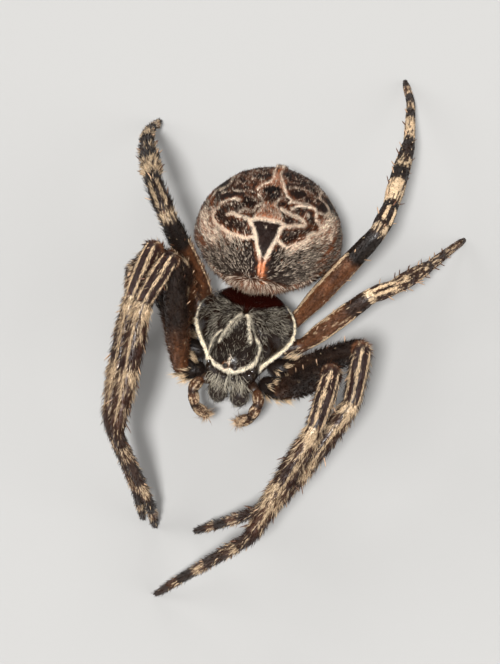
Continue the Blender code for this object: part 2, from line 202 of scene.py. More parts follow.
# Each band: the length it lies on, from and to as shares of it, and how much of the hair is pale, warm
# brown, and maroon there.
FRONT_LEG_BANDS = (
    ("coxa", 0.0, 1.0, 0.12, 0.04, 0.05),
    ("femur", 0.0, 0.14, 0.10, 0.75, 0.0),
    ("femur", 0.50, 0.93, 0.12, 0.10, 0.0),
    ("femur", 0.975, 0.99, 0.50, 0.95, 0.1),
    ("patella", 0.07, 0.90, 0.10, 0.15, 0.9),
    ("patella", 0.95, 1.0, 0.25, 0.20, 0.8),
    ("tibia", 0.0, 0.09, 0.80, 0.30, 0.2),
    ("tibia", 0.14, 0.32, 0.40, 0.45, 0.5),
    ("tibia", 0.36, 0.48, 0.22, 0.35, 0.6),
    ("tibia", 0.53, 0.68, 0.70, 0.45, 0.2),
    ("tibia", 0.74, 0.90, 0.42, 0.55, 0.4),
    ("tibia", 0.95, 1.0, 0.18, 0.25, 0.4),
    ("metatarsus", 0.0, 0.12, 0.18, 0.25, 0.3),
    ("metatarsus", 0.17, 0.28, 0.55, 0.45, 0.1),
    ("metatarsus", 0.36, 0.60, 0.16, 0.20, 0.2),
    ("metatarsus", 0.65, 0.76, 0.55, 0.60, 0.1),
    ("metatarsus", 0.84, 1.0, 0.08, 0.10, 0.1),
    ("tarsus", 0.05, 0.30, 0.52, 0.50, 0.1),
    ("tarsus", 0.45, 1.0, 0.08, 0.15, 0.1),
)
THIRD_LEG_BANDS = (
    ("coxa", 0.0, 1.0, 0.10, 0.20, 0.2),
    ("femur", 0.0, 0.66, 0.24, 0.70, 0.0),
    ("femur", 0.74, 0.93, 0.12, 0.20, 0.0),
    ("femur", 0.97, 1.0, 0.78, 0.30, 0.0),
    ("patella", 0.10, 0.75, 0.36, 0.30, 0.4),
    ("patella", 0.92, 1.0, 0.78, 0.30, 0.1),
    ("tibia", 0.05, 0.24, 0.66, 0.35, 0.1),
    ("tibia", 0.36, 0.50, 0.22, 0.30, 0.3),
    ("tibia", 0.58, 0.80, 0.62, 0.35, 0.1),
    ("tibia", 0.92, 1.0, 0.18, 0.20, 0.2),
    ("metatarsus", 0.06, 0.26, 0.62, 0.40, 0.1),
    ("metatarsus", 0.42, 0.55, 0.18, 0.25, 0.1),
    ("metatarsus", 0.65, 0.82, 0.55, 0.45, 0.1),
    ("tarsus", 0.1, 0.3, 0.34, 0.45, 0.1),
    ("tarsus", 0.5, 1.0, 0.08, 0.20, 0.1),
)
HIND_LEG_BANDS = (
    ("coxa", 0.0, 1.0, 0.10, 0.30, 0.2),
    ("femur", 0.0, 0.66, 0.16, 1.00, 0.1),
    ("femur", 0.74, 0.96, 0.06, 0.04, 0.0),
    ("patella", 0.03, 0.14, 0.62, 0.2, 0.0),
    ("patella", 0.26, 0.82, 0.12, 0.10, 0.2),
    ("patella", 0.92, 1.0, 0.03, 0.05, 0.1),
    ("tibia", 0.10, 0.36, 0.86, 0.25, 0.0),
    ("tibia", 0.43, 0.54, 0.03, 0.05, 0.1),
    ("tibia", 0.60, 0.70, 0.56, 0.15, 0.0),
    ("tibia", 0.78, 1.0, 0.10, 0.10, 0.1),
    ("metatarsus", 0.10, 0.48, 0.84, 0.25, 0.0),
    ("metatarsus", 0.56, 0.66, 0.03, 0.10, 0.1),
    ("metatarsus", 0.72, 0.84, 0.66, 0.25, 0.0),
    ("metatarsus", 0.90, 1.0, 0.06, 0.10, 0.1),
    ("tarsus", 0.15, 0.50, 0.72, 0.55, 0.0),
    ("tarsus", 0.62, 1.0, 0.06, 0.12, 0.1),
)
LEG_BANDS = {1: FRONT_LEG_BANDS, 2: FRONT_LEG_BANDS, 3: THIRD_LEG_BANDS, 4: HIND_LEG_BANDS}
LEFT_THIGH = ("femur", 0.0, 0.14, 0.12, 0.28, 0.0)  # the left front legs are darker at the hip
# Lines along the legs: the length, from, to, angle from the top line, half width in degrees, strength.
FRONT_LEG_LINES_AND_HIGHLIGHT = (
    ("patella", 0.06, 0.97, 30, 5, 0.8), ("patella", 0.06, 0.97, -30, 5, 0.8),
    ("patella", 0.10, 0.95, 80, 6, 0.6), ("patella", 0.10, 0.95, -80, 6, 0.6),
    # The line along the top of the tibia is partly pale hair and partly a painted highlight, for the shine
    # along the top of the shin.
    ("tibia", 0.02, 0.86, 0, 6, 1.0),
)
THIRD_LEG_LINES = (
    ("patella", 0.05, 0.95, 25, 8, 0.8), ("patella", 0.05, 0.95, -25, 8, 0.8),
    ("femur", 0.1, 0.7, 74, 8, 0.4), ("femur", 0.1, 0.7, -74, 8, 0.4),
)
HIND_LEG_LINES = (
    ("patella", 0.3, 0.84, 30, 9, 0.85), ("patella", 0.3, 0.84, -30, 9, 0.85),
    ("femur", 0.05, 0.72, 78, 8, 0.5), ("femur", 0.05, 0.72, -78, 8, 0.5),
)
LEG_LINES = {1: FRONT_LEG_LINES_AND_HIGHLIGHT, 2: FRONT_LEG_LINES_AND_HIGHLIGHT, 3: THIRD_LEG_LINES, 4: HIND_LEG_LINES}
# Spines: the length, place along it, angles from the top line, length.
SPINES = (
    ("femur", 0.30, (35, -35), 0.40), ("femur", 0.55, (0, 60, -60), 0.42), ("femur", 0.78, (40, -40), 0.40),
    ("patella", 0.12, (0,), 0.30), ("patella", 0.55, (80, -80), 0.42), ("patella", 0.95, (0,), 0.36),
    ("tibia", 0.12, (75, -75), 0.50), ("tibia", 0.30, (95, -95, 150), 0.55), ("tibia", 0.46, (75, -75), 0.55),
    ("tibia", 0.60, (100, -100, -150), 0.55), ("tibia", 0.75, (75, -75), 0.52),
    ("tibia", 0.92, (110, -110, 150), 0.50), ("metatarsus", 0.10, (80, -80), 0.48),
    ("metatarsus", 0.34, (95, -95), 0.45), ("metatarsus", 0.62, (85, -85), 0.40),
)

# ---- mouth parts and stalk, in the body's own axes, on the left side

CHELICERA = ((0.49, -1.80, -0.44), (0.44, -1.68, -1.62))
FANG = ((0.44, -1.70, -1.62), (0.07, -1.33, -1.97))
PALP_JOINTS = ((1.17, -1.78, -0.38), (1.42, -2.42, -0.28), (1.2, -2.82, -0.95), (0.68, -2.78, -1.5))
PALP_BASE = ((0.55, -1.25, -0.62), (0.92, -1.55, -0.55), (1.19, -1.88, -0.38))
# Spinnerets: how far across and back from the middle of the group, and the radius.
SPINNERETS = ((0.2, -0.2, 0.17), (-0.2, -0.2, 0.17), (0.17, 0.2, 0.15), (-0.17, 0.2, 0.15))

# ---- hair: how each kind is made, in the words of the function spikes. A length that isn't given follows
# the radius of the limb, the colour of the line or the table of spines.

HAIR = {
    "back fur": dict(length=0.11, width=0.028, rise=24, droop=0.5, jitter=0.35),
    "back dashes": dict(length=0.17, width=0.040, rise=20, droop=0.4, jitter=0.3),
    "back long": dict(length=0.22, width=0.032, rise=26, droop=0.6, steps=2, jitter=0.25),
    "back line": dict(width=0.034, rise=32, droop=0.4, jitter=0.8),
    "fringe": dict(length=0.36, width=0.034, rise=40, droop=0.45, wave=0.12, steps=2, jitter=0.35),
    "crest": dict(length=0.24, width=0.034, rise=55, droop=0.3, wave=0.1, steps=2),
    "shell fur": dict(length=0.30, width=0.020, rise=15, droop=0.5, wave=0.5, steps=3, jitter=0.4),
    "shell line": dict(length=0.14, width=0.032, rise=18, droop=0.5, wave=0.2, steps=2),
    "beard": dict(length=0.62, width=0.021, rise=34, droop=0.6, wave=0.45, steps=3, jitter=0.3),
    "leg fur": dict(width=0.030, rise=22, droop=0.5, jitter=0.22),
    "leg long": dict(width=0.028, rise=34, droop=0.5, wave=0.1, steps=2, jitter=0.2),
    "leg tuft": dict(width=0.034, rise=36, droop=0.4, wave=0.1, steps=2, jitter=0.2),
    "hip": dict(length=0.58, width=0.030, rise=46, droop=0.5, wave=0.1, steps=2, jitter=0.16),
    "leg line": dict(length=0.22, width=0.038, rise=10, droop=0.4, jitter=0.08),
    "spine": dict(width=0.08, rise=48, droop=0.35, steps=4, jitter=0.15, shade=(0.9, 1.0)),
    "palp fur": dict(length=0.19, width=0.028, rise=30, droop=0.5, jitter=0.3),
    "palp tip": dict(length=0.55, width=0.040, rise=58, droop=0.3, wave=0.05, steps=2, jitter=0.35),
    "palp long": dict(length=0.42, width=0.034, rise=55, droop=0.3, steps=2, jitter=0.3),
    "jaw": dict(length=0.50, width=0.021, rise=28, droop=0.4, wave=0.35, steps=3, jitter=0.35),
    "sternum": dict(length=0.22, width=0.024, rise=24, droop=0.5, jitter=0.4),
    "spinneret": dict(length=0.10, width=0.02, rise=30, droop=0.4, jitter=0.5),
}
# How many hairs the abdomen has on each sector: fur, long, lines, fringe and dashes.
BACK_HAIRS = {
    "front back": (19000, 2900, 11500, 2200, 3600),
    "rear back": (12000, 1500, 4600, 0, 1000),
    "left": (13000, 2700, 1800, 1100, 3200),
    "right": (13000, 2700, 1800, 1100, 3200),
    "belly": (7000, 1200, 0, 2200, 0),
}
CREST_HAIRS = 260
SHELL_HAIRS = {"head": (1500, 6500), "thorax": (2600, 6500)}  # fur and lines on each end of the carapace
BEARD_HAIRS = 150
PALP_HAIRS = (1800, 300, 150)  # fur, tip and long ones on each palp
JAW_HAIRS, STERNUM_HAIRS, SPINNERET_HAIRS = 330, 900, 220
HIP_CLUMPS, HIP_CLUMP, HIP_SPREAD = 10, 14, 0.06  # clumps on each hip, hairs in a clump and its radius
LEG_HAIRS = {"fur": 8800, "long": 3100, "tuft": 520, "line": 1500}  # on a leg 20 mm long

# ---- camera and light

CAMERA_AZIMUTH, CAMERA_ELEVATION, CAMERA_DISTANCE = 11.0, 66.0, 115.0
CAMERA_TARGET = (-0.78, -2.32, 4.315)
LENS = 150.0
FLOOR_HALF = 0.6  # in metres
# Lights: azimuth and elevation they come from, strength, and how wide they spread.
LIGHTS = (
    ("key light", -2, 64, 3.9, 7), ("right fill", 75, 40, 0.7, 40), ("left fill", -85, 38, 0.9, 40),
    ("back light", 190, 38, 0.5, 30),
)

chance = np.random.default_rng(20)


# ---------------------------------------------------------------- numbers

def between(stops, at):
    """The values along a few (place, value) stops, eased from each stop to the next."""
    found = np.full(np.shape(at), stops[-1][1], float)
    for (place, value), (next_place, next_value) in reversed(list(zip(stops, stops[1:]))):
        share = np.clip((at - place) / (next_place - place), 0, 1)
        eased = share * share * (3 - 2 * share)
        found = np.where(at <= next_place, value + (next_value - value) * eased, found)
    return found


def flowing(stops, at):
    """The values along a few (place, value) stops, on one smooth curve through them."""
    places, values = np.array(stops).T
    i = np.clip(np.searchsorted(places, at, side="left") - 1, 0, len(places) - 2)
    before, after = np.maximum(i - 1, 0), np.minimum(i + 2, len(places) - 1)
    width = places[i + 1] - places[i]
    slope = width * (values[i + 1] - values[before]) / (places[i + 1] - places[before])
    next_slope = width * (values[after] - values[i]) / (places[after] - places[i])
    t = (at - places[i]) / width
    rise = t * t * (3 - 2 * t)
    eased = values[i] + (values[i + 1] - values[i]) * rise
    return eased + slope * t * (1 - t) ** 2 - next_slope * t * t * (1 - t)


def ramp(values, low, high):
    """0 under low, 1 over high, smooth between. It runs down where low is the larger."""
    share = np.clip((values - low) / (high - low), 0, 1)
    return share * share * (3 - 2 * share)


def blotches(x, y, seed):
    """Smooth random values from 0 to 1, with one blotch to each unit of x and y."""
    size = 61
    table = np.random.default_rng(seed).random((size, size))
    column, row = np.floor(x).astype(int), np.floor(y).astype(int)
    u, v = x - column, y - row
    u, v = u * u * (3 - 2 * u), v * v * (3 - 2 * v)
    near = table[column % size, row % size] * (1 - u) + table[(column + 1) % size, row % size] * u
    far = table[column % size, (row + 1) % size] * (1 - u) + table[(column + 1) % size, (row + 1) % size] * u
    return near * (1 - v) + far * v


def unit(vectors):
    return vectors / np.maximum(np.linalg.norm(vectors, axis=-1, keepdims=True), 1e-9)


def across(vectors, normals):
    """Each vector with what it has along its normal taken out, made one long."""
    return unit(vectors - normals * (vectors * normals).sum(-1, keepdims=True))


def turned(turn):
    """The matrix that turns rows of points by a pitch about X and then a yaw about Z."""
    yaw, pitch = (math.radians(angle) for angle in turn)
    c, s = math.cos(pitch), math.sin(pitch)
    about_x = np.array([[1, 0, 0], [0, c, -s], [0, s, c]])
    c, s = math.cos(yaw), math.sin(yaw)
    about_z = np.array([[c, -s, 0], [s, c, 0], [0, 0, 1]])
    return (about_z @ about_x).T


def smooth_curve(points, step=0.03):
    """Points close together on a smooth curve through a few given ones."""
    points = np.array(points, float)
    padded = np.vstack([2 * points[0] - points[1], points, 2 * points[-1] - points[-2]])
    found = []
    for a, b, c, d in zip(padded, padded[1:], padded[2:], padded[3:]):
        count = max(2, int(np.linalg.norm(c - b) / step))
        t = np.linspace(0, 1, count, endpoint=False)[:, None]
        bend, twist = 2 * a - 5 * b + 4 * c - d, 3 * b - a - 3 * c + d
        found.append(0.5 * (2 * b + (c - a) * t + bend * t**2 + twist * t**3))
    return np.vstack(found + [points[-1:]])


def distances(places, lines):
    """How far each place is from the nearest of the lines' points."""
    points = np.vstack(lines)
    tree = kdtree.KDTree(len(points))
    for i, point in enumerate(points):
        tree.insert(point, i)
    tree.balance()
    return np.array([tree.find(place)[2] for place in places])


def inside(polygon, x, y):
    """Whether each place is inside a flat outline."""
    found = np.zeros(np.shape(x), bool)
    corners = list(polygon)
    for (x1, y1), (x2, y2) in zip(corners, corners[1:] + corners[:1]):
        if y1 == y2:
            continue
        crosses = (y1 > y) != (y2 > y)
        found ^= crosses & (x < (x2 - x1) * (y - y1) / (y2 - y1) + x1)
    return found


# ---------------------------------------------------------------- places in the frame

def points_of(node):
    """A CAD node's points, each once, in millimetres."""
    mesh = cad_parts[node].data
    flat = np.zeros(len(mesh.vertices) * 3)
    mesh.vertices.foreach_get("co", flat)
    return np.unique(np.round(flat.reshape(-1, 3) / MM, 4), axis=0)


def box_mm(node):
    """The low and high corners of a CAD node."""
    return [np.array(corner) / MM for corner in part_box(node)]


def anchored(surface, node, turn):
    """Where a part's own origin lies, so that its outer surface reaches its CAD node's highest corner."""
    share, around = np.meshgrid(np.linspace(0, 1, 241), np.linspace(-math.pi, math.pi, 241))
    points = surface(share.ravel(), around.ravel()) @ turned(turn)
    return box_mm(node)[1] - points.max(0)


def meeting(first, second):
    """Roughly where two nodes of a limb meet."""
    a, b = points_of(first), points_of(second)
    gaps = np.linalg.norm(a[:, None] - b[None], axis=2)
    return (a[gaps.min(1) < MEETING].mean(0) + b[gaps.min(0) < MEETING].mean(0)) / 2


def ring_middle(node, start, end, share):
    """The middle of a limb node's ring of points at a share of the way between its ends."""
    points = points_of(node)
    along = (points - start) @ (end - start) / ((end - start) @ (end - start))
    return points[np.abs(along - share) < 0.08].mean(0)


def on_line(point, first, second):
    """The nearest point of the line through two others."""
    direction = unit(second - first)
    return first + direction * ((point - first) @ direction)


def far_end(node, place, radius):
    """The middle of a limb's free rounded end."""
    points = points_of(node)
    tip = points[np.argmax(np.linalg.norm(points - place, axis=1))]
    return tip + unit(place - tip) * radius


def carapace_surface(share, turn):
    along = (1 - np.cos(np.pi * share)) / 2
    rounding = np.sqrt(np.clip(1 - np.abs(2 * along - 1) ** BLUNTNESS, 0, 1))
    width = flowing(CARAPACE_WIDTHS, along) * rounding
    height = (flowing(CARAPACE_HEIGHTS, along) - RIM_HEIGHT) * rounding
    rise = np.sin(turn)
    top = RIM_HEIGHT + height * np.clip(rise, 0, 1) ** DOME_POWER
    z = np.where(rise > 0, top, RIM_HEIGHT + UNDERSIDE * rise)
    return np.stack([width * np.cos(turn), CARAPACE_FRONT + CARAPACE_LENGTH * along, z], -1)


def abdomen_surface(share, turn):
    along = (1 - np.cos(np.pi * share)) / 2
    rounding = np.sqrt(np.clip(1 - np.abs(2 * along - 1) ** ABDOMEN_FULLNESS, 0, 1))
    rise = np.sin(turn)
    reach = np.where(rise > 0, between(ABDOMEN_TOPS, along), between(ABDOMEN_BOTTOMS, along))
    width = between(ABDOMEN_WIDTHS, along)
    return np.stack(
        [width * rounding * np.cos(turn), ABDOMEN_LENGTH * (along - 0.5), reach * rounding * rise], -1
    )


BODY_ORIGIN = anchored(carapace_surface, "carapace", BODY_TURN)
ABDOMEN_ORIGIN = anchored(abdomen_surface, "abdomen", ABDOMEN_TURN)


def from_body(points):
    return np.asarray(points, float) @ turned(BODY_TURN) + BODY_ORIGIN


def from_abdomen(points):
    return np.asarray(points, float) @ turned(ABDOMEN_TURN) + ABDOMEN_ORIGIN


# ---------------------------------------------------------------- skins

def numbers(collection, attribute, width, kind=float):
    """One attribute of a mesh's points, corners or faces as an array."""
    flat = np.zeros(len(collection) * width, kind)
    collection.foreach_get(attribute, flat)
    return flat.reshape(-1, width) if width > 1 else flat


def mesh_of(bm, name):
    """A finished bmesh as a mesh, with its faces put in order: an operator may leave them in another order
    each run, and roots are drawn by face."""
    count = len(bm.verts)
    bm.verts.index_update()
    bm.faces.sort(key=lambda face: face.verts[0].index * count + face.verts[2].index)
    mesh = bpy.data.meshes.new(name)
    bm.to_mesh(mesh)
    bm.free()
    return mesh


def added(name, data):
    """A new object of the scene, with its mesh, light or camera."""
    made = bpy.data.objects.new(name, data)
    bpy.context.scene.collection.objects.link(made)
    return made


def wrap_map(mesh, around, share):
    """Lays the skin out flat on its bake map: round the part across, from pole to pole upwards."""
    corners = numbers(mesh.loops, "vertex_index", 1, np.int32)
    totals = numbers(mesh.polygons, "loop_total", 1, np.int32)
    starts = numbers(mesh.polygons, "loop_start", 1, np.int32)
    face = np.repeat(np.arange(len(totals)), totals)
    u, v = around[corners].copy(), share[corners]
    pole = (v < 1e-6) | (v > 1 - 1e-6)
    seam = ((u < 1e-5) | (u > 1 - 1e-5)) & ~pole
    plain = ~(pole | seam)
    weight = np.add.reduceat(plain.astype(float), starts)
    middle = np.add.reduceat(np.where(plain, u, 0), starts) / np.maximum(weight, 1)
    u = np.where(seam, np.where(middle[face] < 0.5, 0.0, 1.0), u)
    known = ~pole
    weight = np.add.reduceat(known.astype(float), starts)
    middle = np.add.reduceat(np.where(known, u, 0), starts) / np.maximum(weight, 1)
    u = np.where(pole, middle[face], u)
    layer = mesh.uv_layers.new(name="OFBake")
    flat = np.stack([u, v], -1) * (1 - 2 * MAP_EDGE) + MAP_EDGE
    layer.uv.foreach_set("vector", flat.ravel().astype(np.float32))


class Skin:
    """A closed skin of rings from pole to pole, and what is known at each of its points."""

    def __init__(self, name, sides, rings, surface, depth, fields, relief=None):
        bm = bmesh.new()
        bmesh.ops.create_uvsphere(bm, u_segments=sides, v_segments=rings, radius=1.0)
        ball = np.array([vert.co for vert in bm.verts])
        share = np.arccos(np.clip(ball[:, 2], -1, 1)) / math.pi
        turn = np.arctan2(ball[:, 1], ball[:, 0])
        places = surface(share, turn)
        for vert, place in zip(bm.verts, places):
            vert.co = place * MM
        bmesh.ops.recalc_face_normals(bm, faces=bm.faces)
        bm.normal_update()
        outward = np.array([vert.normal for vert in bm.verts])
        sunk = depth if relief is None else depth - relief(share, turn)
        for vert, place in zip(bm.verts, places - outward * np.reshape(sunk, (-1, 1))):
            vert.co = place * MM
        mesh = mesh_of(bm, name)
        mesh.shade_smooth()
        wrap_map(mesh, turn / (2 * math.pi) + 0.5, share)
        self.piece = added(name, mesh)
        self.places = numbers(mesh.vertices, "co", 3) / MM
        self.normals = numbers(mesh.vertex_normals, "vector", 3)
        self.share, self.turn = share, turn
        self.fields = fields(self)
        mark(mesh, self.fields["marks"])
        mesh.calc_loop_triangles()
        self.triangles = numbers(mesh.loop_triangles, "vertices", 3, np.int32)
        loops = numbers(mesh.loop_triangles, "loops", 3, np.int32)
        self.maps = numbers(mesh.uv_layers["OFBake"].uv, "vector", 2)[loops]
        a, b, c = (self.places[self.triangles[:, i]] for i in range(3))
        self.areas = np.linalg.norm(np.cross(b - a, c - a), axis=1) / 2

    def roots(self, count, density, keep=None):
        """Random roots on the skin, as many to an area as the named field asks."""
        weight = self.areas * self.fields[density][self.triangles].mean(1)
        if keep is not None:
            weight = weight * keep[self.triangles[:, 0]]
        chosen = chance.choice(len(weight), count, p=weight / weight.sum())
        shares = chance.random((count, 2))
        over = shares.sum(1) > 1
        shares[over] = 1 - shares[over]
        shares = np.column_stack([1 - shares.sum(1), shares])
        corners = self.triangles[chosen]

        def mixed(values):
            values = values if values.ndim > 1 else values[:, None]
            return (values[corners] * shares[:, :, None]).sum(1)

        found = {"place": mixed(self.places), "normal": unit(mixed(self.normals))}
        found["map"] = (self.maps[chosen] * shares[:, :, None]).sum(1)
        for name, values in self.fields.items():
            found[name] = mixed(values)
        found["lie"] = across(found["lie"], found["normal"])
        return found


def mark(mesh, marks):
    """Stores how pale, warm, maroon and bright each point is. Half of full is plain brightness."""
    layer = mesh.color_attributes.new(name="marks", type="FLOAT_COLOR", domain="POINT")
    layer.data.foreach_set("color", np.clip(marks, 0, 1).astype(np.float32).ravel())


# ---------------------------------------------------------------- coats

def spike_faces(steps):
    """The triangles of one closed spike: three corners to a ring, and the tip last."""
    faces = [(0, 2, 1)]
    for i in range(steps - 1):
        for j in range(3):
            a, b = 3 * i + j, 3 * i + (j + 1) % 3
            faces += [(a, b, b + 3), (a, b + 3, a + 3)]
    last = 3 * (steps - 1)
    faces += [(last + j, last + (j + 1) % 3, last + 3) for j in range(3)]
    return np.array(faces)


def varied(shape, spread, least, most):
    """Random factors about 1."""
    return chance.normal(1, spread, shape).clip(least, most)


def spikes(roots, length, width, rise, droop, wave=0.0, steps=1, shade=(0.8, 1.0), jitter=0.25):
    """Thin three-sided spikes, one to a root. Length and width are in millimetres and rise in degrees. Each
    bends by droop of its rise towards the skin on its way to the tip, and waves from side to side."""
    count = len(roots["place"])
    length = np.broadcast_to(np.ravel(length), count) * varied(count, 0.18, 0.5, 1.5)
    normal, lie = roots["normal"], roots["lie"]
    side = np.cross(normal, lie)
    heading = chance.normal(0, jitter, count)[:, None]
    lie, side = lie * np.cos(heading) + side * np.sin(heading), side * np.cos(heading) - lie * np.sin(heading)
    angle = np.radians(rise * varied(count, 0.25, 0.3, 1.8))
    sway = chance.normal(0, 1, count) * wave
    phase = chance.random(count) * 2 * math.pi
    at = roots["place"] - normal * ROOT_DEPTH
    rings, colours, offsets = [], [], []
    pale = roots["marks"].copy()
    picked = chance.random(count) < pale[:, 0] ** 1.1
    pale[:, 0] = np.where(picked, 0.6 + 0.4 * chance.random(count), 0.1 * pale[:, 0])
    pale[:, 1:3] *= varied((count, 1), 0.25, 0.3, 1.7)
    light = roots["marks"][:, 3] * varied(count, 0.15, 0.6, 1.4)
    for i in range(steps + 1):
        share = i / steps
        tilt = (angle * (1 - droop * share))[:, None]
        bend = (sway * np.sin(phase + 3 * share))[:, None]
        heading_now = unit(lie * np.cos(tilt) + normal * np.sin(tilt) + side * bend)
        up = np.cross(heading_now, side)
        radius = (width / 2) * (1 - 0.35 * share)
        if i < steps:
            for j in range(3):
                a = math.radians(90 + 120 * j)
                rings.append(at - side * radius * math.cos(a) + up * (-radius * 0.7 * math.sin(a)))
                offsets.append((j - 1, 2 * share - 1))
        else:
            rings.append(at)
            offsets.append((0, 1))
        tone = pale.copy()
        tone[:, 3] = light * (shade[0] + (shade[1] - shade[0]) * share)
        colours += [tone] * (3 if i < steps else 1)
        at = at + heading_now * (length / steps)[:, None]
    points = np.stack(rings, 1).reshape(-1, 3)
    tones = np.stack(colours, 1).reshape(-1, 4)
    each = len(rings)
    faces = (spike_faces(steps)[None] + each * np.arange(count)[:, None, None]).reshape(-1, 3)
    maps = roots["map"][:, None] + np.array(offsets)[None] * PATCH / 2
    return points, faces, tones, maps.reshape(-1, 2)


def clumps(roots, each, spread):
    """The same roots, each turned into a clump of close ones."""
    found = {name: np.repeat(values, each, axis=0) for name, values in roots.items()}
    found["place"] = found["place"] + across(chance.normal(0, 1, found["place"].shape), found["normal"]) * (
        np.abs(chance.normal(0, spread, (len(found["place"]), 1)))
    )
    return found


def solid_coat(name, parts):
    """One mesh of many spikes, each with its own small patch on the bake map."""
    base, points, faces, tones, maps = 0, [], [], [], []
    for part_points, part_faces, part_tones, part_maps in parts:
        points.append(part_points)
        faces.append(part_faces + base)
        tones.append(part_tones)
        maps.append(part_maps)
        base += len(part_points)
    points, faces, tones, maps = np.vstack(points), np.vstack(faces), np.vstack(tones), np.vstack(maps)
    if len(faces) > MOST_TRIANGLES:
        raise ValueError(f"{name} has {len(faces)} triangles")
    mesh = bpy.data.meshes.new(name)
    mesh.vertices.add(len(points))
    mesh.vertices.foreach_set("co", (points * MM).astype(np.float32).ravel())
    mesh.loops.add(len(faces) * 3)
    mesh.loops.foreach_set("vertex_index", faces.astype(np.int32).ravel())
    mesh.polygons.add(len(faces))
    mesh.polygons.foreach_set("loop_start", np.arange(0, len(faces) * 3, 3, dtype=np.int32))
    mesh.update(calc_edges=True)
    mesh.shade_smooth()
    low, high = maps.min(0), maps.max(0)
    maps = (maps - low) / (high - low) * (1 - 2 * COAT_MAP_EDGE) + COAT_MAP_EDGE
    layer = mesh.uv_layers.new(name="OFBake")
    layer.uv.foreach_set("vector", maps[faces.ravel()].astype(np.float32).ravel())
    mark(mesh, tones)
    return added(name, mesh)


# ---------------------------------------------------------------- finishes

COLOUR, VALUE = "NodeSocketColor", "NodeSocketFloat"
RELIEF_INPUTS = ("Grain Scale", "Wrinkle Scale", "Wrinkle Share")
MOTTLE_SCALE, WEAR_SCALE, CLOUD_SCALE = 9000, 3000, 6000  # noise blotches to a metre
ROUGHNESS_SPREAD = 0.08
BUMP_DEPTH = 0.04 * MM
GROUND = (0.010, 0.007, 0.0055)
WARM = (0.22, 0.082, 0.032)
BACK_WARM = (0.42, 0.13, 0.045)
MAROON = (0.032, 0.009, 0.006)
PALE = (0.92, 0.75, 0.58)
LEG_PALE = (0.78, 0.58, 0.37)


def feed(tree, target, inputs):
    """Links each named input of a node to another node's output, or sets its value."""
    for name, value in inputs.items():
        if isinstance(value, bpy.types.NodeSocket):
            tree.links.new(value, target.inputs[name])
        else:
            target.inputs[name].default_value = value


def shader_node(tree, kind, inputs, **settings):
    """A new node of a shader tree. Its settings come first, because some of them change its inputs."""
    made = tree.nodes.new(f"ShaderNode{kind}")
    for name, value in settings.items():
        setattr(made, name, value)
    feed(tree, made, inputs)
    return made


def new_group(name, inputs, output, kind):
    """A shader node group, what its input node gives, and its output node."""
    group = bpy.data.node_groups.new(name, "ShaderNodeTree")
    for socket, socket_kind in inputs:
        group.interface.new_socket(socket, in_out="INPUT", socket_type=socket_kind)
    group.interface.new_socket(output, in_out="OUTPUT", socket_type=kind)
    return group, group.nodes.new("NodeGroupInput").outputs, group.nodes.new("NodeGroupOutput")


def pattern_group():
    """The colours of skin and hair alike: four finishes mixed by the stored marks, with fine mottling."""
    inputs = [(name, COLOUR) for name in ("Ground", "Warm", "Maroon", "Pale")] + [("Mottling", VALUE)]
    group, given, out = new_group("spider pattern", inputs, "Color", COLOUR)
    marks = shader_node(group, "Attribute", {}, attribute_name="marks").outputs
    parts = shader_node(group, "SeparateColor", {"Color": marks["Color"]}).outputs
    colour = given["Ground"]
    for name, mask in (("Warm", "Green"), ("Maroon", "Blue"), ("Pale", "Red")):
        mix = {"Factor": parts[mask], "A": colour, "B": given[name]}
        colour = shader_node(group, "Mix", mix, data_type="RGBA").outputs["Result"]
    place = shader_node(group, "TexCoord", {}).outputs["Object"]
    mottle = shader_node(group, "TexNoise", {"Vector": place, "Scale": MOTTLE_SCALE, "Detail": 3})
    spread = shader_node(group, "MapRange", {
        "Value": mottle.outputs["Fac"], "From Min": 0.3, "From Max": 0.7, "To Min": 0.55, "To Max": 1.35,
    })
    mix = {"Factor": given["Mottling"], "A": 1.0, "B": spread.outputs["Result"]}
    ease = shader_node(group, "Mix", mix, data_type="FLOAT").outputs["Result"]
    double = shader_node(group, "Math", {0: marks["Alpha"], 1: 2.0}, operation="MULTIPLY").outputs["Value"]
    light = shader_node(group, "Math", {0: ease, 1: double}, operation="MULTIPLY").outputs["Value"]
    tone = shader_node(group, "VectorMath", {0: colour, "Scale": light}, operation="SCALE")
    feed(group, out, {"Color": tone.outputs["Vector"]})
    return group


def relief_group():
    """Fine grain and shallow wrinkles, as a height."""
    inputs = [(name, VALUE) for name in RELIEF_INPUTS]
    group, given, out = new_group("cuticle relief", inputs, "Height", VALUE)
    place = shader_node(group, "TexCoord", {}).outputs["Object"]
    grain = shader_node(group, "TexNoise", {"Vector": place, "Scale": given["Grain Scale"]})
    wrinkle = shader_node(group, "TexVoronoi", {"Vector": place, "Scale": given["Wrinkle Scale"]})
    mix = {"Factor": given["Wrinkle Share"], "A": grain.outputs["Fac"], "B": wrinkle.outputs["Distance"]}
    height = shader_node(group, "Mix", mix, data_type="FLOAT").outputs["Result"]
    feed(group, out, {"Height": height})
    return group


PATTERN, RELIEF = pattern_group(), relief_group()


def new_material(name):
    """A new material, its node tree and its surface shader."""
    material = bpy.data.materials.new(name)
    material.use_nodes = True
    return material, material.node_tree, material.node_tree.nodes["Principled BSDF"]


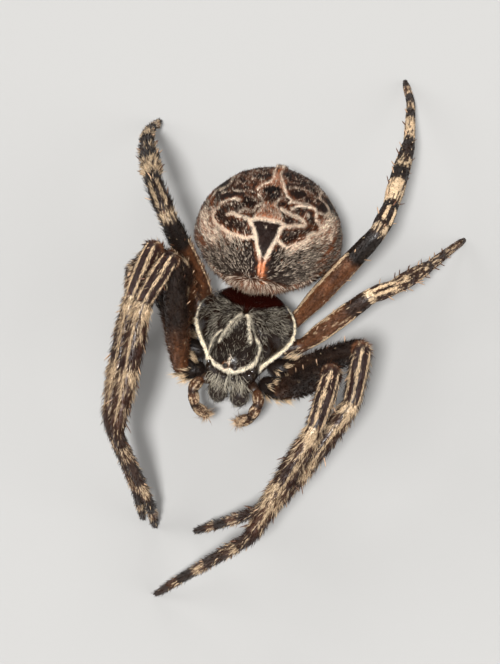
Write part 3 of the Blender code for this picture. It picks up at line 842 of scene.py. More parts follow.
def finish(
    name, roughness, ground=GROUND, warm=WARM, maroon=MAROON, pale=PALE, mottling=0.5, bump=None, coat=0.0,
    shine=0.5,
):
    """A finish that follows the stored marks. Its roughness varies a little over the surface."""
    material, tree, shader = new_material(name)
    pattern = shader_node(tree, "Group", {"Mottling": mottling}, node_tree=PATTERN)
    for socket, colour in (("Ground", ground), ("Warm", warm), ("Maroon", maroon), ("Pale", pale)):
        feed(tree, pattern, {socket: (*colour, 1.0)})
    place = shader_node(tree, "TexCoord", {}).outputs["Object"]
    patchy = shader_node(tree, "TexNoise", {"Vector": place, "Scale": WEAR_SCALE})
    worn = shader_node(tree, "MapRange", {
        "Value": patchy.outputs["Fac"], "To Min": roughness - ROUGHNESS_SPREAD,
        "To Max": roughness + ROUGHNESS_SPREAD,
    })
    feed(tree, shader, {
        "Base Color": pattern.outputs["Color"], "Roughness": worn.outputs["Result"],
        "Specular IOR Level": shine, "Coat Weight": coat, "Coat Roughness": 0.12,
    })
    if bump:
        strength, *grain = bump
        relief = shader_node(tree, "Group", {}, node_tree=RELIEF)
        feed(tree, relief, dict(zip(RELIEF_INPUTS, grain)))
        raised = {"Strength": strength, "Distance": BUMP_DEPTH, "Height": relief.outputs["Height"]}
        feed(tree, shader, {"Normal": shader_node(tree, "Bump", raised).outputs["Normal"]})
    return material


def plain_finish(name, colour, roughness, coat):
    """A hard finish with cloudy depth in its colour."""
    material, tree, shader = new_material(name)
    place = shader_node(tree, "TexCoord", {}).outputs["Object"]
    cloud = shader_node(tree, "TexNoise", {"Vector": place, "Scale": CLOUD_SCALE})
    dark, pale = ((*(part * depth for part in colour), 1.0) for depth in (0.6, 1.4))
    mix = shader_node(tree, "Mix", {"Factor": cloud.outputs["Fac"], "A": dark, "B": pale}, data_type="RGBA")
    feed(tree, shader, {
        "Base Color": mix.outputs["Result"], "Roughness": roughness, "Coat Weight": coat,
        "Coat Roughness": 0.03,
    })
    return material


LEG_SKIN = finish("leg cuticle", 0.4, pale=LEG_PALE, mottling=0.7, bump=(0.5, 26000, 9000, 0.35), coat=0.08)
LEG_HAIR = finish("leg hair", 0.45, pale=LEG_PALE, mottling=0.25, shine=0.16)
BACK_SKIN = finish(
    "abdomen skin", 0.6, ground=(0.009, 0.006, 0.005), warm=BACK_WARM, mottling=0.8,
    bump=(0.6, 22000, 8000, 0.5), shine=0.25,
)
BACK_HAIR = finish(
    "abdomen hair", 0.45, ground=(0.010, 0.007, 0.006), warm=BACK_WARM, mottling=0.25, shine=0.12,
)
SHELL = finish(
    "carapace shell", 0.24, ground=(0.006, 0.005, 0.004), maroon=(0.022, 0.003, 0.0015), mottling=0.5,
    bump=(0.25, 24000, 7000, 0.4), coat=0.2, shine=0.35,
)
JAW_SKIN = finish("chelicera", 0.5, ground=(0.008, 0.006, 0.005), mottling=0.5, bump=(0.4, 24000, 7000, 0.4))
HEAD_HAIR = finish(
    "carapace hair", 0.4, ground=(0.012, 0.010, 0.008), pale=(0.97, 0.87, 0.68), mottling=0.2, shine=0.25
)
SPINE_FINISH = finish("spine", 0.3, ground=(0.10, 0.035, 0.018), pale=(0.80, 0.52, 0.32), mottling=0.2)


def put(piece, material, slot, *nodes):
    """Gives a piece its material and body, and hides the nodes that it stands in for. The slot is not used.
    """
    piece.data.materials.append(material)
    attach(piece, "root")
    if nodes:
        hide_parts(*nodes)
    return piece


def marks_of(pale, warm, maroon, light):
    """The four stored marks of each point. A plain brightness is 1."""
    return np.stack(np.broadcast_arrays(pale, warm, maroon, light / 2), -1)


def plain_marks(pale, warm, maroon, light, at):
    """The same four marks at every one of some places."""
    return np.tile([pale, warm, maroon, light / 2], (len(at), 1))


# ---------------------------------------------------------------- the abdomen

def back_curves(lines):
    """Pattern lines as points in space on the abdomen's outer surface."""
    found = []
    for points in lines.values():
        flat = smooth_curve(points)
        share, turn = np.hypot(flat[:, 0], flat[:, 1]) / FLAT, np.arctan2(flat[:, 1], flat[:, 0])
        found.append(from_abdomen(abdomen_surface(share, turn)))
    return found


def on_back(share, turn):
    """Places on the abdomen laid flat: across and backwards."""
    return FLAT * share * np.cos(turn), FLAT * share * np.sin(turn)


def back_areas(skin):
    """Where each part of the abdomen's pattern lies, from 0 to 1 at each point of its skin."""
    share, turn = skin.share, skin.turn
    x, y = on_back(share, turn)
    outer = skin.places + skin.normals * BODY_COAT
    ragged = (blotches(x * 12, y * 12, 1) - 0.5) * 0.05
    main, fine, border = (
        distances(outer, back_curves(lines)) + ragged for lines in (BACK_LINES, FINE_LINES, BORDER_LINES)
    )
    broken = 0.55 + 0.45 * ramp(blotches(x * 3, y * 3, 9), 0.3, 0.5)
    half = 0.07 - 0.045 * ramp(y, 1.5, 1.1) - 0.02 * ramp(y, 4.2, 4.5)
    line = np.maximum(ramp(main, half + 0.02, half - 0.02), 0.9 * broken * ramp(fine, 0.06, 0.02))
    line = np.maximum(line, (0.7 + 0.3 * broken) * ramp(border, 0.085, 0.045))
    sideways = np.abs(x - MIDDLE)
    skirt = y - (FRINGE_LINE - FRINGE_BEND * (x - MIDDLE) ** 2)
    shoulder = ramp(main, 0.42, 0.2) * ramp(sideways, 1.0, 1.5) * ramp(y, 2.7, 2.4)
    for (cx, cy), (wide, deep) in SHOULDERS:
        shoulder = np.maximum(shoulder, ramp(np.hypot((x - cx) / wide, (y - cy) / deep), 1.15, 0.5))
    streak = blotches(turn * 22, share * 18, 2) * 0.5 + blotches(turn * 47, share * 26, 3) * 0.5
    specks = blotches(x * 7, y * 7, 4) * 0.5 + blotches(x * 15, y * 15, 5) * 0.5
    column = inside(COLUMN, x, y)
    return SimpleNamespace(
        x=x, y=y, share=share, sideways=sideways, line=line, streak=streak, specks=specks,
        beside=np.maximum(ramp(main, 0.24, 0.12), 0.5 * ramp(np.minimum(fine, border), 0.2, 0.08)),
        orange=ramp(y, 1.75, 1.25) * ramp(main, 0.10, 0.05),
        fringe=ramp(skirt, 0.40, 0.16) * ramp(skirt, -0.75, -0.35) * ramp(np.abs(x), 3.3, 2.6),
        tuft=ramp(np.hypot(x - FOOT_TUFT[0], (y - FOOT_TUFT[1]) * 1.2), 0.14, 0.08),
        crest=ramp(np.hypot(x - CREST[0], (y - CREST[1]) * 0.7), 0.7, 0.2),
        rows=blotches(x * 2.2, y * 6.5 + x * x * 0.12, 10) * 0.6 + specks * 0.4,
        bright=ramp(streak, 0.40, 0.58),
        front=ramp(y, 2.3, 1.9),
        rear=ramp(y, 3.6, 4.2),
        shoulder=shoulder,
        flank=ramp(sideways, 2.6, 3.6) * ramp(y, -2.5, -0.5) * ramp(y, 3.3, 2.3),
        stem=ramp(np.abs(x - 0.4), 0.75, 0.35) * ramp(y, 2.0, 1.6),
        under=ramp(np.sin(turn), -0.15, -0.5) * ramp(share, 0.25, 0.4),
        heart=inside(HEART, x, y),
        lobes=inside(LEFT_LOBE, x, y) | inside(RIGHT_LOBE, x, y),
        column=column,
        ridge=column | inside(PEAK, x, y),
    )


def dark_spots(on):
    """How much each dark spot takes away at each point."""
    for (cx, cy), radius in DARK_SPOTS:
        narrow = 0.75 if radius > 0.4 else 1.0
        yield ramp(np.hypot((on.x - cx) * narrow, (on.y - cy) * 1.4), radius * 1.25, radius * 0.8)


def back_pale(on):
    """How much of the coat is pale."""
    pale = on.front * (0.04 + 0.12 * ramp(on.sideways, 0.8, 3.2)) * (0.5 + on.bright)
    pale = pale * (1 - 0.6 * on.stem)
    pale = np.maximum(pale, on.flank * 0.40 * on.bright)
    pale = np.maximum(pale, on.shoulder * (0.40 + 0.55 * on.bright) * ~on.lobes)
    pale = np.maximum(pale, on.rear * 0.18 * ramp(on.rows, 0.50, 0.64))
    pale = np.where(on.lobes, 0.08 * ramp(on.specks, 0.42, 0.62), pale)
    pale = np.where(on.ridge, 0.12 + 0.30 * ramp(on.specks, 0.42, 0.56), pale)
    pale = np.where(on.heart, 0.0, pale)
    pale = np.maximum(pale * (1 - 0.5 * on.beside * (1 - on.line)), on.line * (1 - 0.85 * on.orange))
    for spot in dark_spots(on):
        pale = pale * (1 - spot)
    for (cx, cy), radius in PALE_SPOTS:
        pale = np.maximum(pale, ramp(np.hypot(on.x - cx, on.y - cy), radius * 1.3, radius * 0.6))
    pale = np.maximum(pale, on.fringe * (0.30 + 0.60 * ramp(on.streak, 0.4, 0.6)))
    pale = np.maximum(pale * (1 - 0.85 * on.tuft), 0.8 * on.crest)
    bars = ramp(np.abs(np.abs(on.x) - 1.5), 0.5, 0.25) * ramp(on.share, 0.4, 0.5) * ramp(on.share, 0.8, 0.7)
    return np.where(on.under > 0.5, bars * 0.7, pale)


def back_warm(on):
    """How much of the coat is brown or orange."""
    warm = 0.03 + 0.8 * np.maximum(on.flank, on.shoulder) * ramp(on.streak, 0.52, 0.42)
    warm = np.maximum(warm, on.rear * 0.35 * ramp(on.rows, 0.40, 0.58))
    warm = np.where(on.lobes, 0.05 + 0.3 * ramp(blotches(on.x * 5, on.y * 5, 6), 0.62, 0.78), warm)
    warm = np.where(on.column, 1.0, np.where(on.ridge, 0.85, warm))
    warm = np.maximum(warm, 0.55 * on.beside * ramp(blotches(on.x * 6, on.y * 6, 15), 0.30, 0.55))
    warm = np.maximum(np.where(on.heart, 0.04, warm), on.orange)
    for spot in dark_spots(on):
        warm = warm * (1 - 0.9 * spot)
    return np.maximum(warm * (1 - on.fringe), np.maximum(on.fringe * 0.55, on.tuft))


def back_light(on):
    """How bright the coat is, where 1 is plain."""
    light = (0.62 + 0.35 * blotches(on.x * 2.2, on.y * 2.2, 7)) * (1 - 0.1 * on.front)
    light = np.maximum(light, np.maximum(1.35 * on.line, 1.45 * on.shoulder * ramp(on.streak, 0.30, 0.46)))
    light = np.maximum(light, np.where(on.ridge, 1.0, 1.1 * on.crest))
    light = np.maximum(light, 1.5 * np.maximum(on.orange, on.tuft))
    return light * (1 - on.fringe) + 0.88 * on.fringe * (1 - on.tuft) + 1.5 * on.fringe * on.tuft


def back_dashes(on):
    """How close together the bright dashes stand."""
    dashes = on.front * (0.10 + 0.55 * ramp(on.sideways, 0.7, 2.8)) * (1 - 0.5 * on.stem)
    dashes = dashes * (0.25 + 0.75 * on.bright)
    dashes = np.maximum(dashes, 0.8 * on.flank * (0.15 + 0.85 * on.bright))
    dashes = np.maximum(dashes, 1.5 * on.shoulder * (0.3 + 0.7 * on.bright))
    dashes = np.maximum(dashes, on.rear * (0.03 + 0.25 * ramp(on.rows, 0.46, 0.62)))
    dashes = np.where(on.lobes, 0.03, np.where(on.ridge, 0.25, dashes)) * (1 - 0.95 * on.beside)
    dashes = dashes * (1 - 0.9 * on.line) * ~on.heart * (1 - 0.8 * on.under) * (1 - on.fringe)
    return np.maximum(dashes, 1e-4)


def abdomen_fields(skin):
    on = back_areas(skin)
    next_ring = abdomen_surface(np.clip(on.share + 0.01, 0.001, 0.999), skin.turn)
    backwards = unit((next_ring - abdomen_surface(on.share, skin.turn)) @ turned(ABDOMEN_TURN))
    hanging = np.array([0.1, -0.55, -0.8])
    lie = backwards * (1 - on.fringe[:, None]) + hanging * on.fringe[:, None]
    sides = np.maximum(on.flank, on.shoulder)
    thin = (1 - 0.5 * (on.heart | on.lobes)) * (1 - 0.35 * on.under)
    return {
        "marks": marks_of(back_pale(on), back_warm(on), 0.05, back_light(on)),
        "lie": across(lie, skin.normals),
        "line": np.maximum(on.line, 0.0005),
        "fringe": np.maximum(on.fringe * (1 - on.tuft), 0.0003),
        "density": thin * (1 - 0.85 * on.line) * (1 - 0.4 * on.beside),
        "crest": np.maximum(on.crest, 1e-4),
        "dashes": back_dashes(on),
        "tint": 0.03 + 0.20 * sides + 0.35 * on.ridge + 0.12 * on.rear,
        "glow": 0.52 + 0.26 * on.shoulder,
        "orange": np.maximum(on.orange, on.tuft),
        "flank": (sides + 0.03 * on.front + 0.05) * (1 - 0.9 * np.maximum(on.line, on.beside)),
    }


def abdomen_relief(share, turn):
    """Small muscle dimples in pairs, and a slight unevenness all over."""
    x, y = on_back(share, turn)
    depth = np.zeros_like(x)
    for side in (-1, 1):
        for sideways, back in DIMPLES:
            depth -= 0.05 * np.exp(-(((x - 0.25 - side * sideways) ** 2 + (y - back) ** 2) / 0.012))
    return depth + 0.015 * (blotches(x * 3, y * 3, 8) - 0.5)


def build_abdomen():
    skin = Skin(
        "abdomen_skin", 310, 200, lambda share, turn: from_abdomen(abdomen_surface(share, turn)),
        BODY_COAT, abdomen_fields, abdomen_relief,
    )
    put(skin.piece, BACK_SKIN, "patterned_back", "abdomen")
    angle = np.degrees(skin.turn)
    front = (angle > 28) & (angle < 152) & (skin.share < 0.41)
    back, belly = (angle > 45) & (angle < 135) & ~front, (angle > -135) & (angle < -45)
    flank = ~(front | back | belly)
    sectors = {
        "front back": front, "rear back": back, "belly": belly,
        "left": flank & (np.abs(angle) < 90), "right": flank & (np.abs(angle) > 90),
    }
    for name, (fur, long, lines, fringe, dashes) in BACK_HAIRS.items():
        keep = sectors[name]
        parts = [spikes(skin.roots(fur, "density", keep), **HAIR["back fur"])]
        if dashes:
            roots = skin.roots(dashes, "dashes", keep)
            tinted = chance.random(dashes) < roots["tint"][:, 0]
            roots["marks"][:, 0] = np.where(tinted, 0.0, 1.0)
            roots["marks"][:, 1] = np.where(tinted, 0.9, 0.15)
            roots["marks"][:, 3] = roots["glow"][:, 0]
            parts.append(spikes(roots, **HAIR["back dashes"]))
        parts.append(spikes(skin.roots(long, "flank", keep), **HAIR["back long"]))
        if lines:
            roots = skin.roots(lines, "line", keep)
            white = ramp(roots["orange"][:, 0], 0.6, 0.3) * (1 - 0.3 * (name == "rear back"))
            roots["marks"][:, 0] = np.maximum(roots["marks"][:, 0], 0.92) * white
            parts.append(spikes(roots, 0.045 + 0.045 * white, **HAIR["back line"]))
        if fringe:
            parts.append(spikes(skin.roots(fringe, "fringe", keep), **HAIR["fringe"]))
        if name == "rear back":
            parts.append(spikes(skin.roots(CREST_HAIRS, "crest", keep), **HAIR["crest"]))
        put(solid_coat(f"abdomen_coat_{name}".replace(" ", "_"), parts), BACK_HAIR, "patterned_back")


# ---------------------------------------------------------------- the carapace

def on_carapace(line):
    """A line of the carapace's level plane, lifted to its outer surface."""
    curve = smooth_curve(line)
    along = np.clip((curve[:, 1] - CARAPACE_FRONT) / CARAPACE_LENGTH, 0.001, 0.999)
    rounding = np.sqrt(1 - np.abs(2 * along - 1) ** BLUNTNESS)
    reach = flowing(CARAPACE_WIDTHS, along) * rounding
    return carapace_surface(np.arccos(1 - 2 * along) / np.pi, np.arccos(np.clip(curve[:, 0] / reach, -1, 1)))


def as_seen(points):
    """Places on the carapace moved along the look onto one plane."""
    look = unit(np.array(LOOK))
    return points - (points @ look)[:, None] * look


def gap_to_eyes(places):
    """How far each place is from the nearest eye."""
    balls = [ball for found in eye_places().values() for ball in found]
    return np.min([np.linalg.norm(places - middle, axis=1) - radius for middle, radius in balls], axis=0)


def carapace_lie(x, y, head, rim):
    """Which way the hair lies: out from the pit, forwards on the head, and along the rim."""
    flat = np.zeros_like(x)
    outward = np.stack([x - FOVEA[0], y - FOVEA[1], flat], -1)
    forward = np.stack([-0.35 * x, np.full_like(x, -1.0), flat], -1)
    swirl = np.stack([-(y - FOVEA[1]), x - FOVEA[0], flat], -1)
    lie = unit(outward) + 0.9 * (blotches(x * 3, y * 3, 13)[:, None] - 0.5) * unit(swirl)
    lie = lie * (1 - head[:, None]) + forward * head[:, None]
    along_rim = np.stack([0.5 * x * np.sign(0.9 - y), np.full_like(x, -1.0), flat], -1)
    lie = lie * (1 - rim[:, None]) + along_rim * rim[:, None]
    return lie @ turned(BODY_TURN)


def carapace_fields(skin):
    share, turn = skin.share, skin.turn
    flat = carapace_surface(share, turn)
    x, y, rise = flat[:, 0], flat[:, 1], np.sin(turn)
    plane = as_seen(flat)

    def near(line):
        return distances(plane, [as_seen(on_carapace(line))])

    top = rise > 0.05
    ragged = (blotches(x * 10, y * 10, 11) - 0.5) * 0.06
    band_wide = 0.048 + 0.03 * ramp(y, -1.0, -1.6)
    band_gap = near(HEAD_BAND) + ragged
    band = ramp(band_gap, band_wide + 0.03, band_wide - 0.03) * top * ramp(y, 0.0, -0.5)
    neck = np.maximum(*(ramp(near(line) + ragged, 0.075, 0.03) for line in NECK_LINES)) * top
    faint = np.maximum(*(ramp(near(line) + ragged, 0.05, 0.02) for line in FAINT_LINES)) * top
    brow = ramp(near(BROW_STREAK), 0.07, 0.035) * top
    along = (y - CARAPACE_FRONT) / CARAPACE_LENGTH
    edge = flowing(CARAPACE_WIDTHS, np.clip(along, 0, 1)) - np.abs(x)
    edge = np.where(along > 0.8, np.minimum(edge, (1 - along) * CARAPACE_LENGTH), edge)
    ends = np.linspace(0.05, 0.95, 200)
    borders = [as_seen(carapace_surface(ends, side + 0 * ends)) for side in (0, np.pi)]
    rim = ramp(distances(plane, borders) + ragged * 0.5, 0.078, 0.043) * ramp(rise, -0.5, -0.2)
    rim = rim * ramp(flat[:, 2], RIM_HEIGHT + 0.55, RIM_HEIGHT + 0.4)
    rim = rim * ramp(y, -1.25, -1.05) * ramp(y, 2.55, 2.35)
    near_rim = ramp(distances(plane, borders), 0.40, 0.22)
    bare_rear = ramp(y - (BARE_REAR[0] + BARE_REAR[1] * x**2), -0.10, 0.05) * ramp(edge, 0.1, 0.2)
    bare = np.zeros_like(x)
    for (cx, cy), radius in BARE_PATCHES:
        bare = np.maximum(bare, ramp(np.hypot((x - cx) * 1.3, (y - cy) * 0.8), radius * 1.25, radius * 0.8))
    head = ramp(np.abs(x), 1.0, 0.8) * ramp(y, 0.3, -0.2)
    eye_gap = gap_to_eyes(skin.places)
    eye_zone, by_eyes = ramp(eye_gap, 0.07, 0.02), ramp(eye_gap, 0.32, 0.2)
    pale_line = np.maximum(np.maximum(band, rim), np.maximum(neck, 0.7 * faint))
    fur = 0.55 * (1 - head) + 0.16 * head
    fur = fur * (0.4 + 0.8 * ramp(blotches(x * 9, y * 9, 12), 0.3, 0.7)) * (rise > 0.1)
    pale = np.maximum(pale_line, brow)
    pale = pale * (1 - 0.97 * np.maximum(bare * (1 - rim), eye_zone)) * (1 - bare_rear)
    orange = ramp(np.hypot(x - ORANGE_SPOT[0], y - ORANGE_SPOT[1]), 0.17, 0.09)
    warm = np.clip(0.10 + 0.4 * brow + orange, 0, 1)
    pale = pale * (1 - 0.7 * orange)
    maroon = np.clip(0.10 + bare_rear, 0, 1)
    cover = (rise > 0.02) * (1 - 0.97 * bare_rear) * (1 - 0.93 * bare) * (1 - eye_zone)
    light = 0.42 + 0.2 * blotches(x * 3, y * 3, 14)
    light = np.maximum(light, 1.5 * np.maximum(np.maximum(band, rim), np.maximum(0.8 * neck, brow)))
    light = np.maximum(light, np.maximum(bare_rear, orange))
    beard = ramp(y, -2.0, -2.12) * ramp(np.abs(x), 1.05, 0.8) * (rise > 0.02) * (1 - band) * (1 - eye_zone)
    return {
        "marks": marks_of(pale, warm, maroon, light),
        "fur": fur * (1 - 0.97 * np.maximum(bare, eye_zone)) * (1 - bare_rear),
        "lie": across(carapace_lie(x, y, head, rim), skin.normals),
        "density": np.maximum(cover * (1 - pale_line) * (1 - 0.9 * by_eyes) * (1 - 0.85 * near_rim), 1e-4),
        "line": np.maximum(pale_line * (1 - bare_rear) * (1 - eye_zone), 1e-4),
        "beard": np.maximum(beard, 1e-5),
    }


def carapace_relief(share, turn):
    """The pit, the furrow between head and thorax, and the faint furrows that run out from the pit."""
    flat = carapace_surface(share, turn)
    x, y, rise = flat[:, 0], flat[:, 1], np.sin(turn)
    out, ahead = x - FOVEA[0], y - FOVEA[1]
    distance = np.hypot(out, ahead)
    heading = np.degrees(np.arctan2(np.abs(out), -ahead))
    pit = 0.16 * np.exp(-((out / 0.10) ** 2 + (ahead / 0.28) ** 2))
    neck = 0.13 * np.exp(-(((heading - 40) / 7) ** 2)) * ramp(distance, 0.15, 0.5) * ramp(distance, 2.3, 1.5)
    rays = sum(np.exp(-(((heading - angle) / 6) ** 2)) for angle in (75, 103, 131))
    rays = 0.045 * rays * ramp(distance, 0.3, 0.7) * ramp(distance, 1.9, 1.5)
    return -(pit + neck + rays) * ramp(rise, 0.1, 0.4)


def build_carapace():
    skin = Skin(
        "carapace_skin", 220, 156, lambda share, turn: from_body(carapace_surface(share, turn)),
        HEAD_COAT, carapace_fields, carapace_relief,
    )
    put(skin.piece, SHELL, "dark_shell", "carapace")
    forward = skin.share < 0.42
    for name, keep in (("head", forward), ("thorax", ~forward)):
        fur, lines = SHELL_HAIRS[name]
        roots = skin.roots(fur, "density", keep)
        roots["marks"][:, 0] = np.maximum(roots["marks"][:, 0], roots["fur"][:, 0])
        parts = [spikes(roots, **HAIR["shell fur"])]
        roots = skin.roots(lines, "line", keep)
        roots["marks"][:, 0] = np.maximum(roots["marks"][:, 0], 0.95)
        parts.append(spikes(roots, **HAIR["shell line"]))
        if name == "head":
            roots = skin.roots(BEARD_HAIRS, "beard", keep)
            roots["marks"][:] = (0.85, 0.15, 0.0, 0.37)
            outward = (roots["place"] - BODY_ORIGIN) @ turned(BODY_TURN).T[:, 0]
            hanging = np.stack([0.7 * outward, np.full_like(outward, -1.0), np.full_like(outward, -0.5)], -1)
            roots["lie"] = across(hanging, roots["normal"])
            parts.append(spikes(roots, **HAIR["beard"]))
        put(solid_coat(f"carapace_coat_{name}", parts), HEAD_HAIR, "dark_shell")


# ---------------------------------------------------------------- eyes

def eye_places():
    """Each eye node and the middles and radii of the balls in it."""
    found = {}
    for side in ("left", "right"):
        for row in ("front", "rear"):
            low, high = box_mm(f"eye_{side}_{row}")
            found[f"eye_{side}_{row}"] = [((low + high) / 2, (high - low).mean() / 2)]
        points = points_of(f"eye_{side}_side")
        middle = points.mean(0)
        direction = np.linalg.svd(points - middle)[2][0]
        along = (points - middle) @ direction
        radius = np.abs(np.cross(points - middle, direction)).max()
        found[f"eye_{side}_side"] = [
            (middle + direction * (end - math.copysign(radius, end)), radius * 0.98)
            for end in (along.min(), along.max())
        ]
    return found


def build_eyes():
    glass = plain_finish("eye lens", (0.020, 0.012, 0.008), 0.06, coat=1.0)
    for node, balls in eye_places().items():
        bm = bmesh.new()
        for place, radius in balls:
            made = bmesh.ops.create_uvsphere(bm, u_segments=32, v_segments=20, radius=radius * MM)
            bmesh.ops.translate(bm, verts=made["verts"], vec=Vector(place) * MM)
        mesh = mesh_of(bm, f"{node}_lens")
        mesh.shade_smooth()
        put(added(f"{node}_lens", mesh), glass, "eye", node)


# ---------------------------------------------------------------- limbs

class Course:
    """The smooth middle line of a limb, with the way its top faces at each place."""

    def __init__(self, controls, rounding, plane=None):
        controls = np.array(controls, float)
        gaps = np.linalg.norm(np.diff(controls, axis=0), axis=1)
        self.stops = np.concatenate([[0], np.cumsum(gaps)])
        self.total = self.stops[-1]
        step = 0.02
        margin = 4 * rounding
        s = np.arange(-margin, self.total + margin, step)
        line = np.stack([np.interp(s, self.stops, controls[:, i]) for i in range(3)], -1)
        before, after = unit(controls[1] - controls[0]), unit(controls[-1] - controls[-2])
        line += before * np.minimum(s, 0)[:, None] + after * np.maximum(s - self.total, 0)[:, None]
        reach = int(3 * rounding / step)
        window = np.exp(-0.5 * (np.arange(-reach, reach + 1) * step / rounding) ** 2)
        window /= window.sum()
        self.line = np.stack([np.convolve(line[:, i], window, "same") for i in range(3)], -1)
        self.s = s
        self.forward = unit(np.gradient(self.line, axis=0))
        if plane is None:
            plane = np.cross(controls[1] - controls[0], controls[-1] - controls[-2])
        self.plane = unit(np.array(plane, float))

    def at(self, s):
        """Middle, forward, top and side at each place."""
        middle = np.stack([np.interp(s, self.s, self.line[:, i]) for i in range(3)], -1)
        forward = unit(np.stack([np.interp(s, self.s, self.forward[:, i]) for i in range(3)], -1))
        top = unit(np.cross(self.plane, forward))
        return middle, forward, top, np.cross(forward, top)


def limb_surface(course, radii):
    """Places on a limb: share runs from root to tip, and turn goes round from the top."""
    first, last = radii[0][1], radii[-1][1]

    def surface(share, turn):
        s = share * course.total
        rounding = np.sqrt(np.clip(1 - np.clip(1 - s / first, 0, 1) ** 2, 0, 1))
        rounding *= np.sqrt(np.clip(1 - np.clip(1 - (course.total - s) / last, 0, 1) ** 2, 0, 1))
        radius = between(radii, s) * rounding
        middle, _, top, side = course.at(s)
        return middle + (top * np.cos(turn)[:, None] + side * np.sin(turn)[:, None]) * radius[:, None]

    return surface


def leg_course(side, pair):
    """A leg's middle line from its nodes: whole rings give each straight length its axis."""
    name = f"leg_{side}_{pair}_"
    rough = [meeting(name + first, name + second) for first, second in zip(LEG_NODES, LEG_NODES[1:])]
    femur = [ring_middle(name + "femur", rough[0], rough[1], share) for share in (0.25, 0.75)]
    tibia = [ring_middle(name + "tibia", rough[2], rough[3], share) for share in (0.25, 0.75)]
    hip, knee = (on_line(place, *femur) for place in rough[:2])
    shin, ankle = (on_line(place, *tibia) for place in rough[2:])
    root = far_end(name + "coxa", hip, 0.42 * LEG_THICKNESS[pair])
    foot = points_of(name + "foot")
    flat = foot[foot[:, 2] < 0.001].mean(0)
    toe = flat + np.array([0, 0, 0.15])
    controls = [root, hip, knee, shin, ankle, ring_middle(name + "foot", ankle, toe, 2 / 3), toe]
    plane = np.cross(knee - hip, ankle - shin)
    if (np.cross(plane, unit(shin - knee)) @ (knee - (hip + ankle) / 2)) < 0:
        plane = -plane
    return Course(controls, KNEE_ROUNDING, plane)


def leg_stops(course):
    """Where each named length starts and ends along a leg."""
    bend, toe = course.stops[5:]
    ends = [*course.stops[:5], bend + 0.25 * (toe - bend), course.total]
    return {name: (start, end) for name, start, end in zip(LEG_LENGTH_NAMES, ends, ends[1:])}


def along_leg(stops, name, share):
    """The place on a leg's course that is a share of the way along one named length."""
    start, end = stops[name]
    return start + (end - start) * share


def leg_fields(course, side, pair, seed):
    stops = leg_stops(course)
    bands = LEG_BANDS[pair]
    if side == "left" and pair < 3:
        bands = (bands[0], LEFT_THIGH, *bands[2:])

    def fields(skin):
        s = skin.share * course.total
        angle = np.degrees(np.arctan2(np.sin(skin.turn), np.cos(skin.turn)))
        levels = [[], [], []]
        for name, start, end, *amounts in bands:
            low, high = along_leg(stops, name, start), along_leg(stops, name, end) + 1e-4
            for level, amount in zip(levels, amounts):
                level += [(low, amount), (high, amount)]
        pale, warm, maroon = (between(level, s) for level in levels)
        fine = 0.4 * blotches(angle / 14 + 40, s * 1.9, seed)
        fine = fine + 0.3 * blotches(angle / 6 + 80, s * 3, seed + 1)
        fine = fine + 0.3 * blotches(angle / 3 + 80, s * 4, seed + 4)
        # Pale lines along the legs. On the front legs, the tibia's top line is also a painted highlight.
        lines = np.zeros_like(s)
        for name, start, end, centre, half, strength in LEG_LINES[pair]:
            low, high = along_leg(stops, name, start), along_leg(stops, name, end)
            inside_line = ramp(s, low - 0.1, low + 0.1) * ramp(s, high + 0.1, high - 0.1)
            gap = np.abs((angle - centre + 180) % 360 - 180) + (fine - 0.5) * 8
            lines = np.maximum(lines, strength * inside_line * ramp(gap, half * 1.5, half * 0.6))
        under = ramp(np.abs(angle), 100, 150)
        patches = ramp(fine - 0.80 + 0.47 * pale, -0.05, 0.05) * ramp(pale, 0.10, 0.22)
        found = np.maximum(patches * (0.45 + 0.55 * pale), lines)
        found = found * (1 - 0.25 * under)
        warm_here = warm * (0.65 + 0.7 * (blotches(angle / 20 + 20, s * 1.5, seed + 2) - 0.3))
        light = 0.60 + 0.35 * blotches(angle / 25 + 60, s * 2.0, seed + 3) + 0.3 * found
        _, forward, _, _ = course.at(s)
        dark = ramp(pale, 0.16, 0.05) * (1 - np.clip(warm, 0, 1))
        hip = stops["coxa"][1]
        return {
            "marks": marks_of(found, np.clip(warm_here, 0, 1), maroon, light * (1 - 0.15 * dark)),
            "lie": across(forward, skin.normals),
            "density": np.where(s < hip * 0.4, 0.4, 1.0) * (1 - 0.5 * ramp(maroon, 0.6, 0.8)),
            "hip": np.maximum(ramp(s, hip * 0.3, hip * 0.5) * ramp(s, hip * 1.1, hip * 0.9), 1e-5),
            "line": lines + 1e-3,
            "tuft": (ramp(pale, 0.25, 0.6) * patches**2 + 0.04) * (s > stops["femur"][1]),
            "radius": between(leg_radii(course, pair), s),
        }

    return fields


def leg_radii(course, pair):
    stops = leg_stops(course)
    return [
        (along_leg(stops, name, share), radius * LEG_THICKNESS[pair])
        for name in LEG_LENGTH_NAMES
        for share, radius in LEG_SHAPE[name]
    ]


